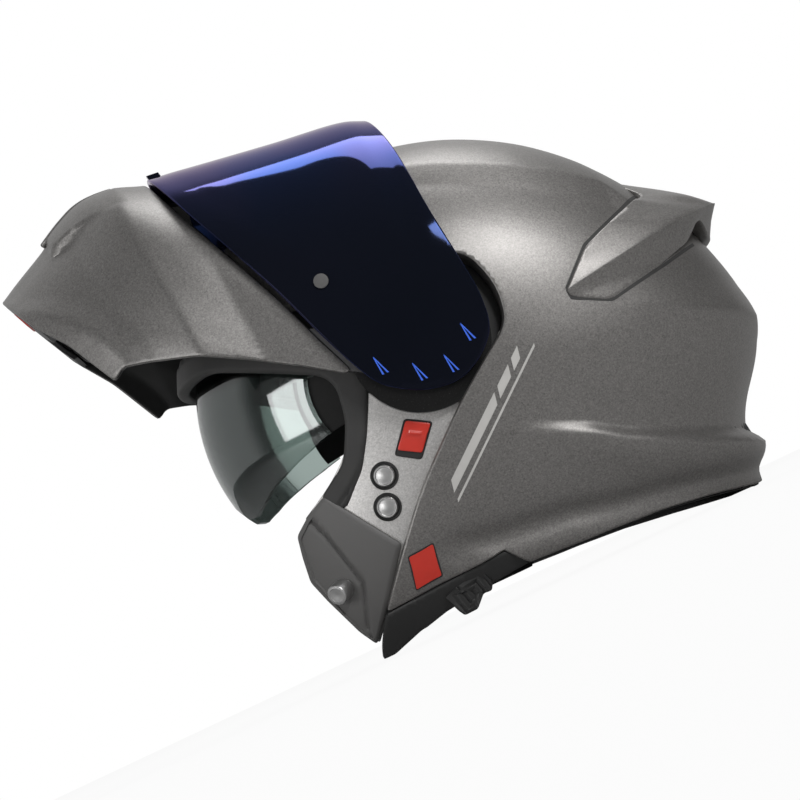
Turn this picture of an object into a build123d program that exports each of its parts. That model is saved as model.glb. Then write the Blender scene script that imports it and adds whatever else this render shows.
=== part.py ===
"""Flip-up motorcycle helmet, standing on its neck rim with the chin bar lifted.

Millimetres. The nose points to -X, the crown to +Z and the wearer's left side
to -Y. The origin is the middle of the neck opening in the plane it stands on.
"""
from math import cos, radians, sin

from build123d import *

import os

os.makedirs("parts", exist_ok=True)

# Head and helmet sizes
HEAD_LENGTH = 200.0
HEAD_HEIGHT = 250.0
SHELL_HALF_WIDTH = 125.0
RECESS_HALF_WIDTH = 113.0
CHIN_HALF_WIDTH = 124.0
VISOR_HALF_WIDTH = 129.0
CAVITY_HALF_WIDTH = 82.0
OVERRUN = 60.0

# Walls
SHELL_WALL = 4.5
CHIN_WALL = 3.5
VISOR_WALL = 2.2
PAD_WALL = 9.0
GAP = 0.4

# Hinges
CHIN_TRAVEL = 78.0
BASE_PLATE_RADIUS = 36.5
BASE_PLATE_TOP = 116.5
HINGE_PIN_RADIUS = 4.2
ARM_THICKNESS = 3.4
ARM_RADIUS = 20.0
VISOR_PIN_RADIUS = 3.2

# Places in the side view, as shares of the head's length and height
CENTRE_SHARES = (-0.10, 0.48)
CHIN_HINGE_SHARES = (-0.17, 0.556)
VISOR_HINGE_SHARES = (-0.065, 0.512)
SUN_HINGE_SHARES = (-0.27, 0.534)

# How wide each section of a rounded body is set out, as shares of its half width
WIDTH_SHARES = (-0.995, -0.96, -0.88, -0.74, -0.55, -0.3, 0.0,
                0.3, 0.55, 0.74, 0.88, 0.96, 0.995)
BLUNT = 2.4


def side(shares):
    """Points of the side view from their shares of the head's length and height."""
    return [(along * HEAD_LENGTH, up * HEAD_HEIGHT) for along, up in shares]


def inward(points, centre, depth):
    """Move every point of an outline towards the centre."""
    moved = []
    for along, up in points:
        reach = ((along - centre[0]) ** 2 + (up - centre[1]) ** 2) ** 0.5
        keep = 1 - depth / reach
        moved.append((centre[0] + (along - centre[0]) * keep,
                      centre[1] + (up - centre[1]) * keep))
    return moved


def rounded_body(plane, outline, centre, half_width):
    """Carry a side outline across the helmet, shrinking towards both sides."""
    with BuildPart() as body:
        for share in WIDTH_SHARES:
            keep = (1 - abs(share) ** BLUNT) ** (1 / BLUNT)
            ring = [(centre[0] + (along - centre[0]) * keep,
                     centre[1] + (up - centre[1]) * keep) for along, up in outline]
            with BuildSketch(plane.offset(share * half_width)):
                with BuildLine():
                    Spline(*ring, periodic=True)
                make_face()
        loft()
    return body.part


def through(plane, outline, reach):
    """A prism of a side outline that runs out to both sides."""
    with BuildPart() as body:
        with BuildSketch(plane):
            with BuildLine():
                Polyline(*outline, close=True)
            make_face()
        extrude(amount=reach, both=True)
    return body.part


def on_left(plane, outline, near, far):
    """A prism of a side outline between two widths of the left side."""
    with BuildPart() as body:
        with BuildSketch(plane.offset(near)):
            with BuildLine():
                Polyline(*outline, close=True)
            make_face()
        extrude(amount=far - near)
    return body.part


def round_on_left(plane, place, radius, near, far):
    """A round bar across the helmet between two widths of the left side."""
    with BuildPart() as body:
        with BuildSketch(plane.offset(near)):
            with Locations(place):
                Circle(radius)
        extrude(amount=far - near)
    return body.part


def keep_part(name, label):
    """Write one finished piece to its file."""
    name.part.label = label
    export_step(name.part, "parts/" + label + ".step")


CENTRE = side([CENTRE_SHARES])[0]
CHIN_HINGE = side([CHIN_HINGE_SHARES])[0]
VISOR_HINGE = side([VISOR_HINGE_SHARES])[0]
SUN_HINGE = side([SUN_HINGE_SHARES])[0]

# The side view at rest, and the same view carried along with the lifted chin bar
REST = Plane.XZ
LIFT_COS = cos(radians(CHIN_TRAVEL))
LIFT_SIN = sin(radians(CHIN_TRAVEL))
LIFTED = Plane(
    origin=(CHIN_HINGE[0] - CHIN_HINGE[0] * LIFT_COS - CHIN_HINGE[1] * LIFT_SIN, 0,
            CHIN_HINGE[1] + CHIN_HINGE[0] * LIFT_SIN - CHIN_HINGE[1] * LIFT_COS),
    x_dir=(LIFT_COS, 0, -LIFT_SIN), z_dir=(0, -1, 0))


def closed_place(place):
    """Where a point of the lifted chin bar lies once the chin bar is down."""
    along = place[0] - CHIN_HINGE[0]
    up = place[1] - CHIN_HINGE[1]
    return (CHIN_HINGE[0] + along * LIFT_COS - up * LIFT_SIN,
            CHIN_HINGE[1] + along * LIFT_SIN + up * LIFT_COS)


# Side outlines of the rounded bodies
SHELL_SHARES = (
    (-0.785, 0.756), (-0.728, 0.838), (-0.63, 0.924), (-0.48, 1.0), (-0.31, 1.04),
    (-0.13, 1.048), (0.04, 1.028), (0.20, 0.984), (0.36, 0.908), (0.50, 0.80),
    (0.61, 0.672), (0.68, 0.536), (0.72, 0.40), (0.715, 0.30), (0.66, 0.18),
    (0.585, 0.04), (0.42, -0.10), (0.12, -0.17), (-0.20, -0.19), (-0.50, -0.17),
    (-0.75, -0.08), (-0.86, 0.08), (-0.89, 0.28), (-0.87, 0.48), (-0.835, 0.64))
CHIN_SHARES = (
    (-0.95, 0.44), (-1.015, 0.32), (-1.06, 0.24), (-1.08, 0.172), (-1.07, 0.112),
    (-1.04, 0.032), (-1.00, -0.08), (-0.94, -0.20), (-0.75, -0.32), (-0.40, -0.36),
    (0.0, -0.34), (0.40, -0.24), (0.65, 0.0), (0.72, 0.24), (0.70, 0.52),
    (0.50, 0.80), (0.10, 0.96), (-0.30, 0.96), (-0.65, 0.80), (-0.85, 0.60))
VISOR_SHARES = (
    (-1.045, 0.26), (-1.0125, 0.348), (-0.975, 0.428), (-0.90, 0.588), (-0.838, 0.728),
    (-0.79, 0.79), (-0.70, 0.90), (-0.45, 1.05), (-0.16, 1.12), (0.15, 1.05),
    (0.42, 0.85), (0.55, 0.59), (0.50, 0.25), (0.30, -0.05), (-0.16, -0.20),
    (-0.60, -0.16), (-0.90, 0.0), (-1.03, 0.16))
VISOR_CENTRE_SHARES = (-0.16, 0.592)
CAVITY_SHARES = (
    (-0.55, 0.44), (-0.555, 0.61), (-0.51, 0.74), (-0.39, 0.83), (-0.22, 0.87),
    (-0.04, 0.872), (0.14, 0.84), (0.32, 0.76), (0.46, 0.62), (0.51, 0.46),
    (0.49, 0.30), (0.43, 0.14), (0.39, -0.04), (0.36, -0.24), (0.0, -0.34),
    (-0.36, -0.34), (-0.50, -0.22), (-0.54, 0.0), (-0.55, 0.22))

# Side outlines of the cuts and zones
FACE_SHARES = (
    (-1.60, 0.736), (-0.70, 0.722), (-0.41, 0.596), (-0.385, 0.56), (-0.40, 0.49),
    (-0.455, 0.42), (-0.53, 0.372), (-0.62, 0.335), (-0.655, 0.27), (-0.66, 0.21),
    (-0.645, 0.16), (-0.60, 0.085), (-0.63, -0.46), (-1.60, -0.46))
RECESS_SHARES = (
    (-1.40, 0.776), (-0.90, 0.772), (-0.62, 0.768), (-0.44, 0.738), (-0.28, 0.726),
    (-0.13, 0.722), (0.03, 0.68), (0.062, 0.592), (0.045, 0.512), (-0.04, 0.468),
    (-0.15, 0.404), (-0.25, 0.336), (-0.33, 0.28), (-0.425, 0.196), (-0.535, 0.092),
    (-0.60, 0.012), (-0.62, -0.40), (-1.40, -0.40))
MOUTH_SHARES = ((-1.60, -0.46), (-0.40, -0.46), (-0.40, 0.46), (-1.60, 0.46))
MOUTH_HALF = 66.0
PAD_MOUTH_HALF = 52.0
RIM_SHARES = (
    (-1.40, 0.0), (-0.56, 0.0), (-0.48, 0.02), (-0.395, 0.036), (-0.265, 0.048),
    (-0.145, 0.056), (-0.07, 0.053), (0.075, 0.045), (0.21, 0.036), (0.35, 0.02),
    (0.44, 0.008), (0.50, 0.0), (1.0, 0.0))
HEM_SHARES = (
    (-1.40, 0.082), (-0.53, 0.086), (-0.20, 0.10), (-0.155, 0.07), (-0.07, 0.066),
    (0.075, 0.058), (0.21, 0.049), (0.35, 0.033), (0.44, 0.021), (0.50, 0.0135),
    (1.0, 0.0135))
CHIN_CUT_SHARES = (
    (-0.205, 0.412), (-0.205, 0.402), (-0.295, 0.336), (-0.385, 0.262),
    (-0.475, 0.178), (-0.545, 0.092), (-0.575, 0.044), (-0.56, 0.012),
    (-0.725, -0.024), (-0.83, -0.06), (-0.98, -0.092), (-1.30, -0.14),
    (-1.30, 0.314), (-1.045, 0.310), (-0.825, 0.330), (-0.655, 0.354),
    (-0.47, 0.380), (-0.32, 0.396))
VISOR_CUT_SHARES = (
    (-1.30, 0.322), (-1.045, 0.318), (-0.825, 0.337), (-0.655, 0.361), (-0.47, 0.387),
    (-0.32, 0.402), (-0.20, 0.42), (-0.14, 0.434), (-0.095, 0.464), (-0.055, 0.50),
    (-0.02, 0.568), (-0.04, 0.636), (-0.085, 0.688), (-0.18, 0.712), (-0.275, 0.72),
    (-0.44, 0.736), (-0.62, 0.766), (-0.75, 0.779), (-1.30, 0.784))


def below(shares, depth_share):
    """Close a rim line far below the helmet."""
    line = list(shares)
    line += [(line[-1][0], depth_share), (line[0][0], depth_share)]
    return side(line)


DEEP_SHARE = -0.6
FACE_CUT = side(FACE_SHARES)
RECESS_ZONE = side(RECESS_SHARES)
RIM_CUT = below(RIM_SHARES, DEEP_SHARE)
HEM_CUT = below(HEM_SHARES, DEEP_SHARE)
SHELL_LINE = side(SHELL_SHARES)
CHIN_LINE = side(CHIN_SHARES)
VISOR_LINE = side(VISOR_SHARES)
VISOR_CENTRE = side([VISOR_CENTRE_SHARES])[0]
CAVITY_LINE = side(CAVITY_SHARES)
RECESS_DEPTH = 1.5
REACH = SHELL_HALF_WIDTH + OVERRUN


def layered(depth):
    """The shell's whole body, lower ahead of the ridge, brought in by a depth."""
    with BuildPart() as body:
        add(rounded_body(REST, inward(SHELL_LINE, CENTRE, depth), CENTRE,
                         SHELL_HALF_WIDTH - depth))
        add(through(REST, inward(RECESS_ZONE, CHIN_HINGE, -depth), REACH), mode=Mode.SUBTRACT)
        add(lowered(depth))
    return body.part


def lowered(depth):
    """The lower body that the chin bar and its arms close over."""
    return rounded_body(REST, inward(SHELL_LINE, CENTRE, RECESS_DEPTH + depth), CENTRE,
                        RECESS_HALF_WIDTH - depth)


def chin_body(depth):
    """The chin bar's rounded body, in its lifted place, brought in by a depth."""
    return rounded_body(LIFTED, inward(CHIN_LINE, CENTRE, depth), CENTRE,
                        CHIN_HALF_WIDTH - depth)


def visor_body(depth):
    """The visor's rounded body, in its lifted place, brought in by a depth."""
    return rounded_body(LIFTED, inward(VISOR_LINE, VISOR_CENTRE, depth), VISOR_CENTRE,
                        VISOR_HALF_WIDTH - depth)


def cavity_body(depth):
    """The room for the head, brought in by a depth."""
    return rounded_body(REST, inward(CAVITY_LINE, CENTRE, depth), CENTRE,
                        CAVITY_HALF_WIDTH - depth)


SHELL_BODY = layered(0)
SHELL_INSIDE = layered(SHELL_WALL)
LOWERED_BODY = lowered(0)
CAVITY = cavity_body(0)
MOUTH_CUT = side(MOUTH_SHARES)

with BuildPart() as face_hole:
    add(through(REST, FACE_CUT, REACH))
    add(through(REST, MOUTH_CUT, MOUTH_HALF))
FACE_HOLE = face_hole.part

BELOW_RIM = through(REST, RIM_CUT, REACH)
BELOW_HEM = through(REST, HEM_CUT, REACH)


# Outer shell, with the pocket for the lock switch
LOCK_SHARES = ((-0.285, 0.424), (-0.230, 0.396), (-0.290, 0.340), (-0.345, 0.368))
LOCK_POCKET_FLOOR = 108.6
LOCK_TOP = 111.6
LOCK_TRAVEL = 4.0
LOCK_PLAY = 0.8

LOCK_POCKET = side(LOCK_SHARES)
LOCK_FROM = ((LOCK_POCKET[0][0] + LOCK_POCKET[1][0]) / 2,
             (LOCK_POCKET[0][1] + LOCK_POCKET[1][1]) / 2)
LOCK_TO = ((LOCK_POCKET[2][0] + LOCK_POCKET[3][0]) / 2,
           (LOCK_POCKET[2][1] + LOCK_POCKET[3][1]) / 2)
LOCK_REACH = ((LOCK_TO[0] - LOCK_FROM[0]) ** 2 + (LOCK_TO[1] - LOCK_FROM[1]) ** 2) ** 0.5
LOCK_WAY = ((LOCK_TO[0] - LOCK_FROM[0]) / LOCK_REACH, (LOCK_TO[1] - LOCK_FROM[1]) / LOCK_REACH)

with BuildPart() as outer_shell:
    add(SHELL_BODY)
    add(SHELL_INSIDE, mode=Mode.SUBTRACT)
    add(FACE_HOLE, mode=Mode.SUBTRACT)
    add(BELOW_HEM, mode=Mode.SUBTRACT)
    add(on_left(REST, LOCK_POCKET, LOCK_POCKET_FLOOR, REACH), mode=Mode.SUBTRACT)
keep_part(outer_shell, "outer_shell")

# Lock switch in its pocket
LOCK_CENTRE = ((LOCK_FROM[0] + LOCK_TO[0]) / 2, (LOCK_FROM[1] + LOCK_TO[1]) / 2)
LOCK_KNOB = [(along - LOCK_WAY[0] * (LOCK_TRAVEL + LOCK_PLAY) if index > 1 else along,
              up - LOCK_WAY[1] * (LOCK_TRAVEL + LOCK_PLAY) if index > 1 else up)
             for index, (along, up) in enumerate(LOCK_POCKET)]
LOCK_KNOB = inward(LOCK_KNOB, LOCK_CENTRE, LOCK_PLAY)
LOCK_SEAT = 0.2

with BuildPart() as lock_switch:
    add(on_left(REST, LOCK_KNOB, LOCK_POCKET_FLOOR + LOCK_SEAT, LOCK_TOP))
keep_part(lock_switch, "lock_switch")

# Sun visor, turned about its own hinge
SUN_RADIUS = 107.0
SUN_HALF_WIDTH = 90.0
SUN_WALL = 2.2
SUN_TOP_ANGLE = 145.0
SUN_ARC = 60.0
SUN_LIFT = 52.0
SUN_PLAY_IN = 2.0
SUN_PLAY_OUT = 3.2
SUN_BLUNT = 2.3
SUN_WIDTH_SHARES = (-0.94, -0.9, -0.8, -0.62, -0.4, -0.2, 0.0, 0.2, 0.4, 0.62, 0.8, 0.9, 0.94)
SUN_EDGE_SHARES = (
    (-1.2, 0.50), (-0.978, 0.484), (-0.93, 0.47), (-0.89, 0.46), (-0.78, 0.44),
    (-0.58, 0.41), (-0.42, 0.394), (-0.30, 0.398), (-0.16, 0.43), (0.0, 0.446),
    (0.16, 0.43), (0.30, 0.398), (0.42, 0.394), (0.58, 0.41), (0.78, 0.44),
    (0.89, 0.46), (0.93, 0.47), (0.978, 0.484), (1.2, 0.50))
SUN_ARM_NEAR = 80.8
SUN_ARM_FAR = 82.8
SUN_ARM_PLAY = 1.2
SUN_ARM_RADIUS = 9.0
SUN_PIN_RADIUS = 3.0
SUN_PIN_END = 93.0
SUN_ARM_SHARES = ((-0.27, 0.575), (-0.52, 0.605), (-0.525, 0.47), (-0.27, 0.495))


def sun_ring(inner, outer, first, arc):
    """A curved band turned about the sun visor's hinge, between two offsets."""
    start = radians(first)
    face = Plane(origin=(SUN_HINGE[0], 0, SUN_HINGE[1]), x_dir=(cos(start), 0, sin(start)),
                 z_dir=(-sin(start), 0, cos(start)))
    line = []
    for share in SUN_WIDTH_SHARES:
        keep = (1 - abs(share) ** SUN_BLUNT) ** (1 / SUN_BLUNT)
        line.append((SUN_RADIUS * keep, share * SUN_HALF_WIDTH))
    far = [(reach + outer, across) for reach, across in line]
    near = [(reach - inner, across) for reach, across in line]
    with BuildPart() as body:
        with BuildSketch(face):
            with BuildLine():
                Spline(*far)
                Line(far[-1], near[-1])
                Spline(*reversed(near))
                Line(near[0], far[0])
            make_face()
        revolve(axis=Axis((SUN_HINGE[0], 0, SUN_HINGE[1]), (0, -1, 0)), revolution_arc=arc)
    return body.part


SUN_ARM_KEEP = (1 - (SUN_ARM_FAR / SUN_HALF_WIDTH) ** SUN_BLUNT) ** (1 / SUN_BLUNT)
SUN_ARM_REACH = SUN_RADIUS * SUN_ARM_KEEP
SUN_BELOW = [(across * SUN_HALF_WIDTH, up * HEAD_HEIGHT) for across, up in SUN_EDGE_SHARES]
SUN_BELOW += [(SUN_BELOW[-1][0], 0), (SUN_BELOW[0][0], 0)]

with BuildPart() as sun_visor:
    add(sun_ring(SUN_WALL, 0, SUN_TOP_ANGLE, SUN_ARC))
    with BuildSketch(Plane.YZ):
        with BuildLine():
            Polyline(*SUN_BELOW, close=True)
        make_face()
    extrude(amount=-(HEAD_LENGTH + OVERRUN), mode=Mode.SUBTRACT)
keep_part(sun_visor, "sun_visor")

with BuildPart() as sun_arm_left:
    add(on_left(REST, side(SUN_ARM_SHARES), SUN_ARM_NEAR, SUN_ARM_FAR))
    add(round_on_left(REST, SUN_HINGE, SUN_ARM_RADIUS, SUN_ARM_NEAR, SUN_ARM_FAR))
    add(round_on_left(REST, SUN_HINGE, SUN_PIN_RADIUS + GAP, SUN_ARM_NEAR, SUN_ARM_FAR),
        mode=Mode.SUBTRACT)
    add(round_on_left(REST, SUN_HINGE, SUN_ARM_REACH, SUN_ARM_NEAR, SUN_ARM_FAR),
        mode=Mode.INTERSECT)
    add(sun_visor.part, mode=Mode.SUBTRACT)
keep_part(sun_arm_left, "sun_arm_left")

with BuildPart() as sun_arm_right:
    mirror(sun_arm_left.part, about=Plane.XZ)
keep_part(sun_arm_right, "sun_arm_right")

with BuildPart() as sun_pins:
    add(round_on_left(REST, SUN_HINGE, SUN_PIN_RADIUS, SUN_ARM_NEAR, SUN_PIN_END))
    mirror(about=Plane.XZ)
keep_part(sun_pins, "sun_pins")

# Impact liner, with the room the sun visor swings up into
LINER_RISE = 6.0
POCKET_FIRST_ANGLE = 84.0
POCKET_ARC = 120.0
SUN_SLOT_NEAR = 66.0

SLOT_ROOT = SUN_ARM_RADIUS + 2 * SUN_ARM_PLAY
SLOT_FIRST, SLOT_LAST = [
    (SUN_HINGE[0] + SLOT_ROOT * cos(radians(angle)), SUN_HINGE[1] + SLOT_ROOT * sin(radians(angle)))
    for angle in (POCKET_FIRST_ANGLE - 90, POCKET_FIRST_ANGLE + POCKET_ARC + 90)]
RAISED_HEM = [(along, up + LINER_RISE) for along, up in HEM_CUT]
BELOW_LINER = through(REST, RAISED_HEM, REACH)

with BuildPart() as impact_liner:
    add(SHELL_INSIDE)
    add(CAVITY, mode=Mode.SUBTRACT)
    add(FACE_HOLE, mode=Mode.SUBTRACT)
    add(BELOW_LINER, mode=Mode.SUBTRACT)
    add(sun_ring(SUN_WALL + SUN_PLAY_IN, SUN_PLAY_OUT, POCKET_FIRST_ANGLE, POCKET_ARC),
        mode=Mode.SUBTRACT)
    with BuildSketch(REST.offset(SUN_SLOT_NEAR)):
        with BuildLine():
            rim = CenterArc(SUN_HINGE, SUN_RADIUS / 2, POCKET_FIRST_ANGLE, POCKET_ARC)
            Line(rim @ 1, SLOT_LAST)
            Line(SLOT_LAST, SLOT_FIRST)
            Line(SLOT_FIRST, rim @ 0)
        make_face()
        with Locations(SUN_HINGE):
            Circle(SLOT_ROOT)
    sun_slots = extrude(amount=SUN_ARM_FAR + SUN_ARM_PLAY - SUN_SLOT_NEAR, mode=Mode.PRIVATE)
    add(sun_slots, mode=Mode.SUBTRACT)
    mirror(sun_slots, about=Plane.XZ, mode=Mode.SUBTRACT)
    add(sun_pins.part, mode=Mode.SUBTRACT)
keep_part(impact_liner, "impact_liner")


# Comfort liner: crown pad, cheek pads and neck roll
CROWN_PAD_SHARES = ((-0.66, 0.64), (-0.40, 0.60), (0.35, 0.60), (0.60, 0.66),
                    (0.60, 1.0), (-0.66, 1.0))
CHEEK_PAD_SHARES = ((-0.57, 0.09), (0.02, 0.09), (0.06, 0.30), (0.02, 0.545),
                    (-0.22, 0.565), (-0.38, 0.50), (-0.46, 0.40), (-0.57, 0.33))
NECK_ROLL_SHARES = ((0.10, 0.065), (0.60, 0.065), (0.60, 0.23), (0.10, 0.23))
CHEEK_PAD_WALL = 20.0
NECK_ROLL_WALL = 12.0

with BuildPart() as crown_pad:
    add(CAVITY)
    add(cavity_body(PAD_WALL), mode=Mode.SUBTRACT)
    add(through(REST, side(CROWN_PAD_SHARES), REACH), mode=Mode.INTERSECT)
keep_part(crown_pad, "crown_pad")

with BuildPart() as cheek_pad_left:
    add(CAVITY)
    add(cavity_body(CHEEK_PAD_WALL), mode=Mode.SUBTRACT)
    add(on_left(REST, side(CHEEK_PAD_SHARES), CAVITY_HALF_WIDTH / 3, REACH),
        mode=Mode.INTERSECT)
    add(through(REST, MOUTH_CUT, PAD_MOUTH_HALF), mode=Mode.SUBTRACT)
keep_part(cheek_pad_left, "cheek_pad_left")

with BuildPart() as cheek_pad_right:
    mirror(cheek_pad_left.part, about=Plane.XZ)
keep_part(cheek_pad_right, "cheek_pad_right")

with BuildPart() as neck_roll:
    add(CAVITY)
    add(cavity_body(NECK_ROLL_WALL), mode=Mode.SUBTRACT)
    add(through(REST, side(NECK_ROLL_SHARES), REACH), mode=Mode.INTERSECT)
keep_part(neck_roll, "neck_roll")

# Rim: front trims, rear edging and the lining's lower skirt
TRIM_PROUD = 1.0
TRIM_DEPTH = 9.0
TRIM_END_SHARE = -0.155
SKIRT_RISE = 2.5
SLIDE_SHARES = ((-0.365, -0.1), (-0.365, 0.078), (-0.185, 0.086), (-0.185, -0.1))
SLIDE_DEPTH = 6.0
SLIDE_KNOB_LENGTH = 20.0
SLIDE_TRAVEL = 14.0
SLIDE_PLAY = 0.6
SLIDE_RISE = 4.0
SLIDE_PROUD = 2.5

RIM_BODY = layered(-TRIM_PROUD)
RIM_INSIDE = layered(TRIM_DEPTH)
TRIM_END = TRIM_END_SHARE * HEAD_LENGTH
AHEAD = [(TRIM_END, -HEAD_HEIGHT), (TRIM_END, HEAD_HEIGHT),
         (-2 * HEAD_LENGTH, HEAD_HEIGHT), (-2 * HEAD_LENGTH, -HEAD_HEIGHT)]

with BuildPart() as rim_band:
    add(RIM_BODY)
    add(RIM_INSIDE, mode=Mode.SUBTRACT)
    add(BELOW_HEM, mode=Mode.INTERSECT)
    add(BELOW_RIM, mode=Mode.SUBTRACT)
    add(FACE_HOLE, mode=Mode.SUBTRACT)

with BuildPart() as rim_trim_right:
    add(rim_band.part)
    add(mirror(on_left(REST, AHEAD, 0, REACH), about=Plane.XZ, mode=Mode.PRIVATE),
        mode=Mode.INTERSECT)
keep_part(rim_trim_right, "rim_trim_right")

SLIDE_SLOT = side(SLIDE_SHARES)
SLIDE_START = SLIDE_SLOT[0][0] + SLIDE_PLAY
SLIDE_FOOT = side(RIM_SHARES)[3][1] - SLIDE_RISE
SLIDE_TOP = SLIDE_SLOT[1][1] - SLIDE_PLAY
SLIDE_SEAT = 0.5

with BuildPart() as slide_room:
    add(on_left(REST, SLIDE_SLOT, 0, REACH))
    add(layered(SLIDE_DEPTH), mode=Mode.SUBTRACT)

with BuildPart() as rim_trim_left:
    mirror(rim_trim_right.part, about=Plane.XZ)
    add(slide_room.part, mode=Mode.SUBTRACT)
keep_part(rim_trim_left, "rim_trim_left")

with BuildPart() as sun_slider:
    add(on_left(REST, [(SLIDE_START, SLIDE_FOOT), (SLIDE_START, SLIDE_TOP),
                       (SLIDE_START + SLIDE_KNOB_LENGTH, SLIDE_TOP),
                       (SLIDE_START + SLIDE_KNOB_LENGTH, SLIDE_FOOT)], 0, REACH))
    add(layered(-SLIDE_PROUD), mode=Mode.INTERSECT)
    add(layered(SLIDE_DEPTH - SLIDE_SEAT), mode=Mode.SUBTRACT)
keep_part(sun_slider, "sun_slider")

with BuildPart() as rim_edging:
    add(rim_band.part)
    add(through(REST, AHEAD, REACH), mode=Mode.SUBTRACT)
keep_part(rim_edging, "rim_edging")

with BuildPart() as lining_skirt:
    add(layered(TRIM_DEPTH))
    add(CAVITY, mode=Mode.SUBTRACT)
    add(BELOW_LINER, mode=Mode.INTERSECT)
    add(through(REST, [(along, up + SKIRT_RISE) for along, up in RIM_CUT], REACH),
        mode=Mode.SUBTRACT)
    add(FACE_HOLE, mode=Mode.SUBTRACT)
keep_part(lining_skirt, "lining_skirt")

# Rubber round the face opening
GASKET_SHARES = (
    (-1.2, 0.784), (-0.70, 0.776), (-0.42, 0.652), (-0.335, 0.585), (-0.325, 0.528),
    (-0.39, 0.428), (-0.445, 0.36), (-0.515, 0.324), (-0.555, 0.368), (-0.475, 0.40),
    (-0.425, 0.475), (-0.41, 0.545), (-0.43, 0.58), (-0.70, 0.706), (-1.2, 0.722))
GASKET_LIP = 1.8
GASKET_DEPTH = 6.0

with BuildPart() as eyeport_gasket:
    add(lowered(-GASKET_LIP))
    add(lowered(GASKET_DEPTH), mode=Mode.SUBTRACT)
    add(through(REST, side(GASKET_SHARES), REACH), mode=Mode.INTERSECT)
    add(outer_shell.part, mode=Mode.SUBTRACT)
    add(impact_liner.part, mode=Mode.SUBTRACT)
keep_part(eyeport_gasket, "eyeport_gasket")

# Latch plates, studs and snaps
LATCH_PLATE_SHARES = (
    (-0.545, 0.356), (-0.61, 0.332), (-0.655, 0.308), (-0.665, 0.264), (-0.675, 0.212),
    (-0.655, 0.164), (-0.615, 0.09), (-0.53, 0.092), (-0.425, 0.204))
LATCH_PLATE_WALL = 3.0
STUD_SHARES = (-0.6025, 0.172)
STUD_LEAN = (-0.55, -0.80, -0.22)
STUD_FOOT = 92.0
STUD_LENGTH = 10.5
STUD_RADIUS = 5.0
STUD_FLANGE_RADIUS = 7.0
STUD_FLANGE_WALL = 1.0
STUD_ROOT = 15.0
SNAP_SHARES = ((-0.395, 0.34), (-0.42, 0.28))
SNAP_RADIUS = 7.0
SNAP_BASE_WALL = 1.5
SNAP_DOME_RADIUS = 5.0
SNAP_DOME_WALL = 3.4
BADGE_SHARES = ((-0.352, 0.176), (-0.366, 0.109), (-0.444, 0.105), (-0.426, 0.173))
BADGE_WALL = 0.8

STUD = side([STUD_SHARES])[0]
SURFACE_NEAR = SHELL_HALF_WIDTH / 2

with BuildPart() as latch_plate_left:
    add(lowered(-LATCH_PLATE_WALL))
    add(SHELL_BODY, mode=Mode.SUBTRACT)
    add(on_left(REST, side(LATCH_PLATE_SHARES), 0, REACH), mode=Mode.INTERSECT)
    add(rim_trim_left.part, mode=Mode.SUBTRACT)
    add(eyeport_gasket.part, mode=Mode.SUBTRACT)
keep_part(latch_plate_left, "latch_plate_left")

with BuildPart() as latch_plate_right:
    mirror(latch_plate_left.part, about=Plane.XZ)
keep_part(latch_plate_right, "latch_plate_right")

STUD_PLANE = Plane(origin=(STUD[0], -STUD_FOOT, STUD[1]), z_dir=STUD_LEAN)

with BuildPart() as latch_stud_left:
    add(round_on_left(STUD_PLANE, (0, 0), STUD_FLANGE_RADIUS, -STUD_ROOT, STUD_ROOT))
    add(lowered(-LATCH_PLATE_WALL - STUD_FLANGE_WALL), mode=Mode.INTERSECT)
    add(round_on_left(STUD_PLANE, (0, 0), STUD_RADIUS, -STUD_ROOT, STUD_LENGTH))
    add(lowered(-LATCH_PLATE_WALL), mode=Mode.SUBTRACT)
keep_part(latch_stud_left, "latch_stud_left")

with BuildPart() as latch_stud_right:
    mirror(latch_stud_left.part, about=Plane.XZ)
keep_part(latch_stud_right, "latch_stud_right")

with BuildPart() as snap_bases:
    for place in side(SNAP_SHARES):
        add(round_on_left(REST, place, SNAP_RADIUS, SURFACE_NEAR, REACH))
    add(lowered(-SNAP_BASE_WALL), mode=Mode.INTERSECT)

with BuildPart() as snap_domes:
    for place in side(SNAP_SHARES):
        add(round_on_left(REST, place, SNAP_DOME_RADIUS, SURFACE_NEAR, REACH))
    add(lowered(-SNAP_DOME_WALL), mode=Mode.INTERSECT)

with BuildPart() as snaps_left:
    add(snap_bases.part)
    add(snap_domes.part)
    add(SHELL_BODY, mode=Mode.SUBTRACT)
keep_part(snaps_left, "snaps_left")

with BuildPart() as snaps_right:
    mirror(snaps_left.part, about=Plane.XZ)
keep_part(snaps_right, "snaps_right")

with BuildPart() as badge_left:
    add(layered(-BADGE_WALL))
    add(SHELL_BODY, mode=Mode.SUBTRACT)
    add(on_left(REST, side(BADGE_SHARES), 0, REACH), mode=Mode.INTERSECT)
keep_part(badge_left, "badge_left")

with BuildPart() as badge_right:
    mirror(badge_left.part, about=Plane.XZ)
keep_part(badge_right, "badge_right")

# Hinge plates and pins of the chin bar
with BuildPart() as base_plate_left:
    add(round_on_left(REST, CHIN_HINGE, BASE_PLATE_RADIUS, SURFACE_NEAR, BASE_PLATE_TOP))
    add(SHELL_BODY, mode=Mode.SUBTRACT)
    add(eyeport_gasket.part, mode=Mode.SUBTRACT)
keep_part(base_plate_left, "base_plate_left")

with BuildPart() as base_plate_right:
    mirror(base_plate_left.part, about=Plane.XZ)
keep_part(base_plate_right, "base_plate_right")

ARM_NEAR = BASE_PLATE_TOP + GAP
ARM_FAR = ARM_NEAR + ARM_THICKNESS

with BuildPart() as hinge_pins:
    add(round_on_left(REST, CHIN_HINGE, HINGE_PIN_RADIUS, BASE_PLATE_TOP, ARM_FAR))
    mirror(about=Plane.XZ)
keep_part(hinge_pins, "hinge_pins")

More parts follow.
